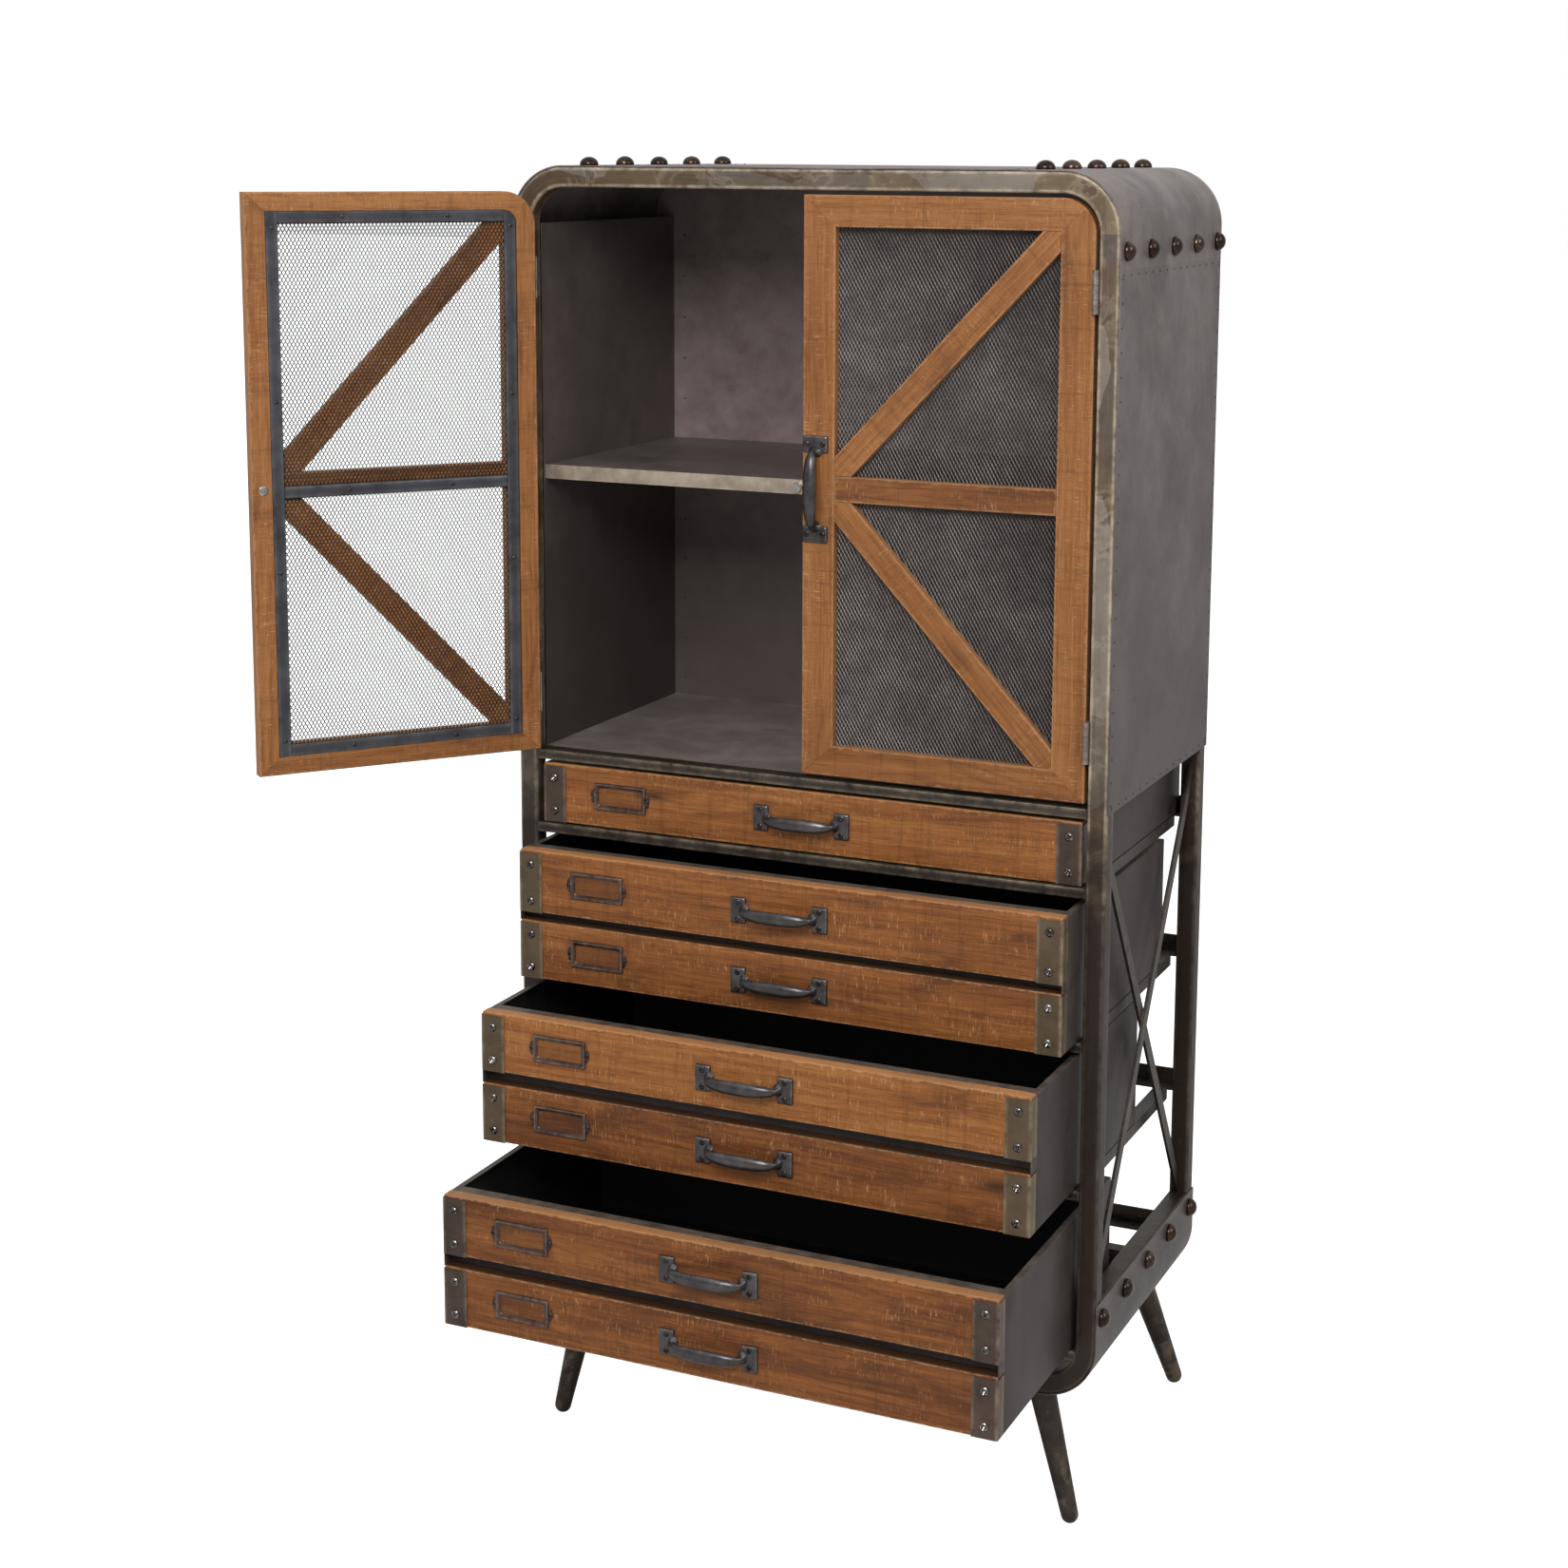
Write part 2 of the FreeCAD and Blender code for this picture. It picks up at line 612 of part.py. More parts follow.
def door_mesh():
    ix0, ix1, iz0, iz1 = door_opening()
    edge = REBATE_W - 1.0
    y0 = FRONT + DOOR_T - REBATE_D
    return box(ix0 - edge, ix1 + edge, y0, y0 + MESH_T, iz0 - edge, iz1 + edge)


def mesh_retainer():
    """A mitred frame of flat steel that clamps the mesh, with a strap across the middle."""
    ix0, ix1, iz0, iz1 = door_opening()
    edge = REBATE_W - 0.5
    ox0, ox1, oz0, oz1 = ix0 - edge, ix1 + edge, iz0 - edge, iz1 + edge
    jx0, jx1, jz0, jz1 = (ox0 + RETAINER_W, ox1 - RETAINER_W, oz0 + RETAINER_W,
                          oz1 - RETAINER_W)
    y0 = FRONT + DOOR_T - REBATE_D + MESH_T
    y1 = y0 + RETAINER_T
    strap_z = MID_Z - 6
    return [
        prism_y([(ox0, oz0), (jx0, jz0), (jx0, jz1), (ox0, oz1)], y0, y1),
        prism_y([(ox1, oz0), (jx1, jz0), (jx1, jz1), (ox1, oz1)], y0, y1),
        prism_y([(ox0, oz0), (ox1, oz0), (jx1, jz0), (jx0, jz0)], y0, y1),
        prism_y([(ox0, oz1), (ox1, oz1), (jx1, jz1), (jx0, jz1)], y0, y1),
        box(jx0, jx1, y0, y1, strap_z - RETAINER_W / 2, strap_z + RETAINER_W / 2),
    ]


def hinge_leaf(z, fixed):
    """One leaf of a butt hinge with its knuckles: two on the fixed leaf, one on the other."""
    if fixed:
        x0 = INNER_X - LEAF_T
        own = [(-HINGE_H / 2, -HINGE_H / 6), (HINGE_H / 6, HINGE_H / 2)]
        other = [(-HINGE_H / 6, HINGE_H / 6)]
    else:
        x0 = DOOR_X1
        own = [(-HINGE_H / 6, HINGE_H / 6)]
        other = [(-HINGE_H / 2, -HINGE_H / 6), (HINGE_H / 6, HINGE_H / 2)]
    play = 0.15
    leaf = box(x0, x0 + LEAF_T, HINGE_Y, HINGE_Y + LEAF_REACH, z - HINGE_H / 2, z + HINGE_H / 2)
    for a, b in own:
        knuckle = Part.makeCylinder(KNUCKLE_R, b - a - 2 * play, V(HINGE_X, HINGE_Y, z + a + play),
                                    Z_AXIS)
        leaf = leaf.fuse(knuckle)
    for a, b in other:
        room = Part.makeCylinder(KNUCKLE_R + 2 * play, b - a + 2 * play,
                                 V(HINGE_X, HINGE_Y, z + a - play), Z_AXIS)
        leaf = leaf.cut(room)
    bore = Part.makeCylinder(PIN_R + PIN_CLEARANCE, HINGE_H + 2,
                             V(HINGE_X, HINGE_Y, z - HINGE_H / 2 - 1), Z_AXIS)
    return leaf.cut(bore).removeSplitter()


def hinge_pin(z):
    return Part.makeCylinder(PIN_R, HINGE_H, V(HINGE_X, HINGE_Y, z - HINGE_H / 2), Z_AXIS)


def strike():
    """The round steel strike on the door's inner face."""
    at = V(DOOR_X0 + STRIKE_INSET, FRONT + DOOR_T, CATCH_Z)
    return Part.makeCylinder(STRIKE_R, STRIKE_T, at, Y_AXIS)


def magnetic_catch():
    """A round magnet on the shelf's front lip, facing the strike."""
    at = V(DOOR_X0 + STRIKE_INSET, FRONT + SHELF_SETBACK, CATCH_Z)
    face = FRONT + DOOR_T + STRIKE_T + 0.6
    return Part.makeCylinder(CATCH_R, at.y - face, at, Y_AXIS * -1)


def door_handle():
    """The pull, turned upright on the free stile so that its grip droops to the free edge."""
    at = V(DOOR_X0 + HANDLE_PLATE[1] / 2 + 1, FRONT, MID_Z - 1)
    grip = handle()
    grip.rotate(V(0, 0, 0), Y_AXIS, 90)
    grip.translate(at)
    turn = FreeCAD.Rotation(Y_AXIS, 90)
    seats = [turn.multVec(s) + at for s in handle_screw_seats()]
    out = Y_AXIS * -1
    screws = [screw(s, out) for s in seats]
    return drill(grip, seats, out), screws, seats


def make_door(side):
    """One door. The left door mirrors the right one and stands open."""
    grip, screws, seats = door_handle()
    out = Y_AXIS * -1
    parts = {
        "frame": [drill(m, seats, out) for m in door_frame()],
        "braces": door_braces(),
        "mesh": [door_mesh()],
        "mesh_retainer": mesh_retainer(),
        "handle": [grip] + screws,
        "hinge_leaves": [hinge_leaf(z, False) for z in HINGE_Z],
        "strike": [strike()],
    }
    for part, shapes in parts.items():
        if side == "left":
            shapes = [mirror_x(s) for s in shapes]
            for s in shapes:
                s.rotate(V(-HINGE_X, HINGE_Y, 0), Z_AXIS, -LEFT_DOOR_OPEN_DEG)
        nodes["%s_door_%s" % (side, part)] = shapes


def make_carcass():
    nodes["front_frame"] = tube_frame(FRONT + TUBE / 2)
    nodes["back_frame"] = tube_frame(BACK - TUBE / 2)
    top_x = HALF_W - WRAP_REACH_TOP
    nodes["top_panel"] = [box(-top_x, top_x, FRONT, BACK, HEIGHT, HEIGHT + SKIN)]
    nodes["right_top_corner_wrap"] = top_corner_wrap()
    nodes["left_top_corner_wrap"] = [mirror_x(s) for s in top_corner_wrap()]
    panel = box(HALF_W, HALF_W + SKIN, FRONT, BACK, SIDE_PANEL_BOTTOM, HEIGHT - WRAP_REACH_SIDE)
    nodes["right_side_panel"] = [panel]
    nodes["left_side_panel"] = [mirror_x(panel)]
    nodes["right_bottom_corner_wrap"] = bottom_corner_wrap()
    nodes["left_bottom_corner_wrap"] = [mirror_x(s) for s in bottom_corner_wrap()]
    nodes["back_panel"] = [back_panel()]
    nodes["inner_side_walls"] = inner_walls()
    nodes["compartment_floor"] = [compartment_floor()]
    nodes["shelf"] = shelf()
    nodes["front_crossbars"] = front_crossbars()
    nodes["back_crossbars"] = back_crossbars()
    nodes["drawer_runners"] = drawer_runners()
    nodes["side_rails"] = side_rails()
    nodes["cross_braces"] = both_sides(cross_braces())
    nodes["legs"] = legs()
    nodes["dome_rivets"] = both_sides([dome_rivet(s, o) for s, o in rivet_seats()])
    fixed = [hinge_leaf(z, True) for z in HINGE_Z] + [hinge_pin(z) for z in HINGE_Z]
    nodes["hinge_frame_leaves"] = both_sides(fixed)
    nodes["magnetic_catches"] = both_sides([magnetic_catch()])


make_carcass()
for door_side in ("right", "left"):
    make_door(door_side)
for drawer_index in range(len(DRAWER_PULLS)):
    make_drawer(drawer_index)

os.makedirs("parts", exist_ok=True)
for node, shapes in nodes.items():
    solids = [solid for shape in shapes for solid in shape.Solids]
    whole = solids[0] if len(solids) == 1 else Part.makeCompound(solids)
    whole.exportStep("parts/%s.step" % node)
    print(node, len(solids), all(s.isValid() for s in solids), round(sum(s.Volume for s in solids)))
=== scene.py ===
"""Looks for the tall industrial cabinet: patinated steel, rivets and rough-sawn timber.

Everything is in metres in the row frame: origin on the floor, +Z up, fronts facing -Y.
Doors are built shut, on the right-hand side, then mirrored and swung for the left one.
Drawer pieces are built where the frame holds them.
"""
import json
import math
import random

import bpy
from mathutils import Matrix, Vector, noise


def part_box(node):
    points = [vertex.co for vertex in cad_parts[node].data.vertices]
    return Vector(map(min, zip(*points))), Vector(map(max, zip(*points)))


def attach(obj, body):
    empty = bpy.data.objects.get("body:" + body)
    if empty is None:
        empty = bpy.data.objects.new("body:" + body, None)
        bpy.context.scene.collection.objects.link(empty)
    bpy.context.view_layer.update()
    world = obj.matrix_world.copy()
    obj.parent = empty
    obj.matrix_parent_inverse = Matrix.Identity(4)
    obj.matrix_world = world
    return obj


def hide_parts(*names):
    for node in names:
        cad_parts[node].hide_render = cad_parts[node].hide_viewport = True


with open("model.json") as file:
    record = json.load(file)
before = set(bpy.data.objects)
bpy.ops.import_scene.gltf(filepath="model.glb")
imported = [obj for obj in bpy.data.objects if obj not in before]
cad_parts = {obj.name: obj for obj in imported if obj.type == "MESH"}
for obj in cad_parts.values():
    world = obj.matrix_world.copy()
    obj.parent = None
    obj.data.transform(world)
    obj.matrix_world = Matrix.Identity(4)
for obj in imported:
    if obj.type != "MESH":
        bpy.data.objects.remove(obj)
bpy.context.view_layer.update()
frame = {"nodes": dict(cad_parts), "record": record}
rng = random.Random(7)

MM = 0.001
UP = Vector((0, 0, 1))
TO_FRONT = Vector((0, -1, 0))
TO_BACK = Vector((0, 1, 0))

# ---- sizes taken from the frame ----
FRAME_LO, FRAME_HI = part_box("front_frame")
TUBE = FRAME_HI.y - FRAME_LO.y
HALF_W = FRAME_HI.x
FRONT = FRAME_LO.y
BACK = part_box("back_frame")[1].y
TOP = FRAME_HI.z
BOTTOM = FRAME_LO.z
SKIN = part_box("top_panel")[1].z - TOP
INNER_X = HALF_W - TUBE

# ---- carcass ----
CORNER_R = 56 * MM
TUBE_EDGE_R = 2.6 * MM
WRAP_REACH = 95 * MM
RIVET_R = 9.5 * MM
RIVET_H = 9 * MM
RIVET_SKIRT = 0.9 * MM
RIVET_DENT = 0.35 * MM
RIVET_FIRST_Y = 16 * MM
RIVET_TOP_INSET = 78 * MM
RIVET_UPPER_Z = 1228.6 * MM
RIVET_LOWER_Z = 205.2 * MM
TACK_R = 1.2 * MM
TACK_H = 0.6 * MM
TACK_FROM_END = 8 * MM
TACK_FROM_EDGE = 6 * MM
BEAD_R = 1.1 * MM
LEG_BEAD_R = 1.3 * MM
LEG_WELD_LONG = 14.6 * MM
LEG_WELD_WIDE = 13.9 * MM
SHELF_T = 1.0 * MM
LIP_T = 1.2 * MM
BAR_H = 10 * MM
SLIDE_LEVELS = [634.3 * MM, 482.8 * MM, 335.3 * MM, 172.2 * MM]
# Each leg's place under the frame, and the point on the floor that it leans to.
LEG_PLACES = [((0.253, -0.141), (0.295, -0.170)), ((-0.253, -0.141), (-0.266, -0.176)),
              ((0.264, 0.143), (0.302, 0.160)), ((-0.260, 0.143), (-0.298, 0.162))]

# ---- doors ----
STILE = 33 * MM
RAIL = 30 * MM
MID_RAIL = 25 * MM
BRACE_BAND = 25 * MM
MID_Z = 997.5 * MM
STRAP_Z = MID_Z - 6 * MM
DOOR_GAP = 3.5 * MM
WOOD_BEVEL = 1.2 * MM
REBATE_W = 13.5 * MM
REBATE_D = 5 * MM
MITRE_GAP = 0.12 * MM
RETAINER_W = 12 * MM
RETAINER_BEVEL = 0.7 * MM
CELL_W = 3.8 * MM
CELL_H = 6.8 * MM
STRAND = 0.95 * MM
STRAND_TWIST = 0.75 * MM

# ---- drawers and fittings ----
LOWER_SLAT = 61 * MM
SLAT_GAPS = [0, 8 * MM, 12 * MM, 12 * MM]
# How much stain each slat has taken: drawer by drawer, lower slat first.
SLAT_STAIN = [(0.25,), (0.5, 0.45), (0.75, 0.1), (0.7, 0.75)]
PLATE_DROP = 3 * MM
SCREW_INSET = 12 * MM
CORNER_W = 26 * MM
CORNER_RETURN = 15.2 * MM
CORNER_T = 1.1 * MM
RIM = 6.5 * MM
FRONT_RIM = 14 * MM
TUB_T = 1.0 * MM
HANDLE_L = 103 * MM
HANDLE_REACH = 20 * MM
GRIP_ROOT_IN = 7 * MM
GRIP_START = 2 * MM
GRIP_HALF_T = 4 * MM
PLATE_W = 16 * MM
PLATE_H = 26 * MM
PLATE_X = (HANDLE_L - PLATE_W) / 2
LABEL_W = 59 * MM
LABEL_H = 28 * MM
LABEL_X = -201.5 * MM


# ---- Mesh building ----
# Per-vertex values: how each is stored, and what a vertex without one gets.
LAYERS = {"edge": ("FLOAT", "value", 0.0), "grain": ("FLOAT_VECTOR", "vector", (0, 0, 0)),
          "plank": ("FLOAT_VECTOR", "vector", (0, 0, 0)), "tone": ("FLOAT", "value", 0.0),
          "soot": ("FLOAT", "value", 0.0)}


class Mesh:
    """Vertices, faces and per-vertex values, gathered before making an object."""

    def __init__(self):
        self.verts = []
        self.faces = []
        self.values = {layer: [] for layer in LAYERS}

    def add(self, verts, faces, **values):
        """A value is a list with an item for each vertex, or one item for all of them."""
        base = len(self.verts)
        self.verts += [Vector(v) for v in verts]
        self.faces += [tuple(base + i for i in f) for f in faces]
        for layer, (_, _, missing) in LAYERS.items():
            value = values.get(layer, missing)
            self.values[layer] += value if isinstance(value, list) else [value] * len(verts)

    def stamp(self, place, build, *args):
        """Build a part at the origin, then add it at its place."""
        part = Mesh()
        build(part, *args)
        part.transform(place)
        self.add(part.verts, part.faces, edge=part.values["edge"])

    def transform(self, matrix):
        self.verts = [matrix @ v for v in self.verts]
        if matrix.determinant() < 0:
            self.faces = [tuple(reversed(f)) for f in self.faces]

    def to_object(self, name, material, slot, body, nodes, smooth_deg=40):
        data = bpy.data.meshes.new(name)
        data.from_pydata([tuple(v) for v in self.verts], [], self.faces)
        layers = ["edge"] if any(self.values["edge"]) else []
        if any(any(plank) for plank in self.values["plank"]):
            layers += ["grain", "plank", "tone", "soot"]
        for layer in layers:
            kind, field, _ = LAYERS[layer]
            flat = self.values[layer]
            if kind == "FLOAT_VECTOR":
                flat = [c for vector in flat for c in vector]
            data.attributes.new(layer, kind, "POINT").data.foreach_set(field, flat)
        data.validate()
        data.shade_smooth()
        data.set_sharp_from_angle(angle=math.radians(smooth_deg))
        data.materials.append(MAT[material])
        obj = bpy.data.objects.new(name, data)
        bpy.context.scene.collection.objects.link(obj)
        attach(obj, body)
        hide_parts(*nodes)
        return obj


def spread(first, last, steps):
    """Evenly spaced values, with both ends."""
    return [first + (last - first) * k / steps for k in range(steps + 1)]


def angles(first_deg, last_deg, steps):
    return [math.radians(a) for a in spread(first_deg, last_deg, steps)]


def around(count):
    """Angles of a full turn."""
    return [2 * math.pi * k / count for k in range(count)]


def ring_faces(rows, cols, closed=False):
    """Quads from each ring of vertices to the next, and from the last to the first if closed."""
    faces = []
    for i in range(rows if closed else rows - 1):
        here, there = i * cols, (i + 1) % rows * cols
        for j in range(cols):
            k = (j + 1) % cols
            faces.append((here + j, here + k, there + k, there + j))
    return faces


def skin_faces(rows, cols):
    """Rings of vertices with a cap on the first and on the last."""
    last = (rows - 1) * cols
    caps = [tuple(reversed(range(cols))), tuple(range(last, last + cols))]
    return ring_faces(rows, cols) + caps


def rounded_rect(w, h, r, flat_steps=2, arc_steps=4):
    """Points (x, y, edge) round a rounded rectangle, anticlockwise, with edge 1 on the corners."""
    points = []
    corners = [(w / 2 - r, h / 2 - r, 0), (-w / 2 + r, h / 2 - r, 90),
               (-w / 2 + r, -h / 2 + r, 180), (w / 2 - r, -h / 2 + r, 270)]
    for k, (cx, cy, start) in enumerate(corners):
        points += [(cx + r * math.cos(a), cy + r * math.sin(a), 1.0)
                   for a in angles(start, start + 90, arc_steps)]
        px, py, _ = points[-1]
        nx, ny, _ = corners[(k + 1) % 4]
        for t in spread(0, 1, flat_steps + 1)[1:-1]:
            points.append((px + (nx - cx) * t, py + (ny - cy) * t, 0.0))
    return points


def swept(stations, section):
    """Vertices and edge values of (a, b, edge) points at each station: (origin, u, v), and
    the scales of a and b where they aren't 1."""
    verts, edge = [], []
    for origin, u, v, *scale in stations:
        wide, high = scale[0] if scale else (1, 1)
        for a, b, e in section:
            verts.append(origin + u * (a * wide) + v * (b * high))
            edge.append(e)
    return verts, edge


def sweep(mesh, stations, section, closed=False, ends=True, **values):
    """A section swept along stations, with caps or closed into a loop."""
    verts, edge = swept(stations, section)
    rows, cols = len(stations), len(section)
    faces = skin_faces(rows, cols) if ends and not closed else ring_faces(rows, cols, closed)
    mesh.add(verts, faces, edge=edge, **values)


def bar(mesh, lo, hi, axis, radius, steps=1):
    """A rounded bar between two corners, with its length along the axis."""
    lo, hi = Vector(lo), Vector(hi)
    size = hi - lo
    i = "xyz".index(axis)
    j, k = (i + 1) % 3, (i + 2) % 3
    unit = Matrix.Identity(3)
    half = size[i] / 2
    inset = min(radius, half * 0.4)
    narrow, full = (1 - inset / size[j], 1 - inset / size[k]), (1, 1)
    stops = [(-half, narrow), (-half + inset / 2, full)]
    stops += [(t, full) for t in spread(inset - half, half - inset, steps + 1)[1:-1]]
    stops += [(half - inset / 2, full), (half, narrow)]
    stations = [((lo + hi) / 2 + unit[i] * t, unit[j], unit[k], scale) for t, scale in stops]
    sweep(mesh, stations, rounded_rect(size[j], size[k], radius))


def axes_about(out):
    """Two directions square to out and to each other."""
    u = out.orthogonal().normalized()
    return u, out.cross(u)


def lathe(mesh, base, out, profile, segments=28):
    """Turn a profile of (radius, height) about an axis."""
    u, v = axes_about(out)
    verts = [Vector(base) + out * h + (u * math.cos(a) + v * math.sin(a)) * r
             for r, h in profile for a in around(segments)]
    mesh.add(verts, skin_faces(len(profile), segments))


def dome_profile(radius, height, steps, skirt=0.0):
    """A domed head: a short skirt, then a shallow cap."""
    points = [(radius * 0.94, -0.2 * MM), (radius, skirt)]
    for a in angles(0, 90, steps)[1:]:
        points.append((radius * max(math.cos(a), 0.02), skirt + (height - skirt) * math.sin(a)))
    return points


def pan_screw(mesh, seat, radius, height):
    """A pan head facing the front, with a cross recess at a random turn, as a polar grid."""
    u = TO_FRONT.orthogonal().normalized()
    u.rotate(Matrix.Rotation(rng.uniform(0, 1.5), 3, TO_FRONT))
    v = TO_FRONT.cross(u)
    rings, spokes = 9, 32
    recess = radius * 0.62
    verts = []
    for i in range(rings + 1):
        t = i / rings
        r = radius * (1 - t)
        lift = height * (1 - (1 - t) ** 4 * 0.55) if i else 0.0
        if i == 1:
            r, lift = radius * 0.985, height * 0.42
        for a in around(spokes):
            x, y = r * math.cos(a), r * math.sin(a)
            reach = max(abs(x), abs(y))
            sink = 0
            if min(abs(x), abs(y)) < radius * 0.17 and reach < recess:
                sink = height * (0.85 * (1 - reach / recess) + 0.12)
            verts.append(Vector(seat) + TO_FRONT * (lift - sink) + u * x + v * y)
    mesh.add(verts, ring_faces(rings + 1, spokes))


def thin_sheet(mesh, line, y0, y1, thickness):
    """Sheet bent along a line of (x, z) points, its inner face, with its length along Y."""
    n = len(line)
    outside = []
    for k, (x, z) in enumerate(line):
        d = (Vector(line[min(k + 1, n - 1)]) - Vector(line[max(k - 1, 0)])).normalized()
        outside.append((x - d.y * thickness, z + d.x * thickness))
    ring = line + outside[::-1]
    rows, cols = spread(y0, y1, 6), len(ring)
    verts = [Vector((x, y, z)) for y in rows for x, z in ring]
    cap = [(k, k + 1, cols - 2 - k, cols - 1 - k) for k in range(n - 1)]
    last = (len(rows) - 1) * cols
    faces = ring_faces(len(rows), cols) + [f[::-1] for f in cap]
    faces += [tuple(last + i for i in f) for f in cap]
    edge = [1.0 if y in (rows[0], rows[-1]) or c in (0, n - 1, n, cols - 1) else 0.0
            for y in rows for c in range(cols)]
    mesh.add(verts, faces, edge=edge)


# ---- Materials ----
def rgba(value):
    return (*value, 1) if isinstance(value, tuple) else value


class Nodes:
    """A short way to write a material's node tree. A colour is a tuple or a socket."""

    def __init__(self, name):
        self.material = bpy.data.materials.new(name)
        self.material.use_nodes = True
        self.tree = self.material.node_tree
        self.shader = self.tree.nodes["Principled BSDF"]

    def link(self, value, socket):
        if isinstance(value, bpy.types.NodeSocket):
            self.tree.links.new(value, socket)
        elif value is not None:
            socket.default_value = value

    def new(self, kind, out=0, settings=None, **inputs):
        """Inputs go by name, or as i0, i1 and so on by place."""
        node = self.tree.nodes.new(kind)
        for key, value in (settings or {}).items():
            setattr(node, key, value)
        for key, value in inputs.items():
            index = int(key[1:]) if key[0] == "i" and key[1:].isdigit() else key
            self.link(value, node.inputs[index])
        return node.outputs[out]

    def math(self, op, a, b=0.0, c=None, clamp=False):
        return self.new("ShaderNodeMath", settings={"operation": op, "use_clamp": clamp},
                        i0=a, i1=b, i2=c)

    def add(self, a, b):
        return self.math("ADD", a, b)

    def sub(self, a, b):
        return self.math("SUBTRACT", a, b)

    def mul(self, a, b):
        return self.math("MULTIPLY", a, b)

    def line(self, value, slope, offset, clamp=False):
        return self.math("MULTIPLY_ADD", value, slope, offset, clamp)

    def blend(self, *parts):
        """Sum of (value, weight) pairs."""
        total = None
        for value, weight in parts:
            part = value if weight == 1 else self.mul(value, weight)
            total = part if total is None else self.add(total, part)
        return total

    def vmath(self, op, a, b=None):
        return self.new("ShaderNodeVectorMath", settings={"operation": op}, i0=a, i1=b)

    def parts(self, vector):
        return self.new("ShaderNodeSeparateXYZ", Vector=vector).node.outputs

    def object_coords(self):
        return self.new("ShaderNodeTexCoord", out="Object")

    def attribute(self, name, out="Fac"):
        return self.new("ShaderNodeAttribute", out=out, settings={"attribute_name": name})

    def noise(self, vector, scale, detail, rough=0.55, distort=0.0):
        return self.new("ShaderNodeTexNoise", Vector=vector, Scale=scale, Detail=detail,
                        Roughness=rough, Distortion=distort)

    def drift(self, vector, scale, detail):
        """Three noises as a vector."""
        return self.new("ShaderNodeTexNoise", out="Color", Vector=vector, Scale=scale, Detail=detail)

    def streaks(self, vector, stretch, detail, rough, distort=0.0):
        """Noise with its own scale along each axis."""
        return self.noise(self.vmath("MULTIPLY", vector, stretch), 1.0, detail, rough, distort)

    def remap(self, value, low, high, to_low=0.0, to_high=1.0):
        return self.new("ShaderNodeMapRange", Value=value, i1=low, i2=high, i3=to_low, i4=to_high)

    def ramp(self, value, *stops):
        """Stops are (place, colour or grey level)."""
        out = self.new("ShaderNodeValToRGB", Fac=value)
        band = out.node.color_ramp
        while len(band.elements) < len(stops):
            band.elements.new(0.5)
        for element, (at, color) in zip(band.elements, stops):
            element.position = at
            element.color = rgba(color if isinstance(color, tuple) else (color,) * 3)
        return out

    def mix(self, factor, a, b, blend="MIX"):
        node = self.tree.nodes.new("ShaderNodeMix")
        node.data_type = "RGBA"
        node.blend_type = blend
        self.link(factor, node.inputs[0])
        self.link(rgba(a), node.inputs[6])
        self.link(rgba(b), node.inputs[7])
        return node.outputs[2]

    def tint(self, color, mask, strength, other):
        """Lay another colour over the masked part."""
        return self.mix(self.mul(mask, strength), color, other)

    def bump(self, height, strength, distance):
        return self.new("ShaderNodeBump", Strength=strength, Distance=distance, Height=height)

    def finish(self, color, rough, metallic=0.0, normal=None, specular=0.5):
        self.link(rgba(color), self.shader.inputs["Base Color"])
        self.link(rough, self.shader.inputs["Roughness"])
        self.link(metallic, self.shader.inputs["Metallic"])
        self.shader.inputs["Specular IOR Level"].default_value = specular
        self.link(normal, self.shader.inputs["Normal"])
        return self.material


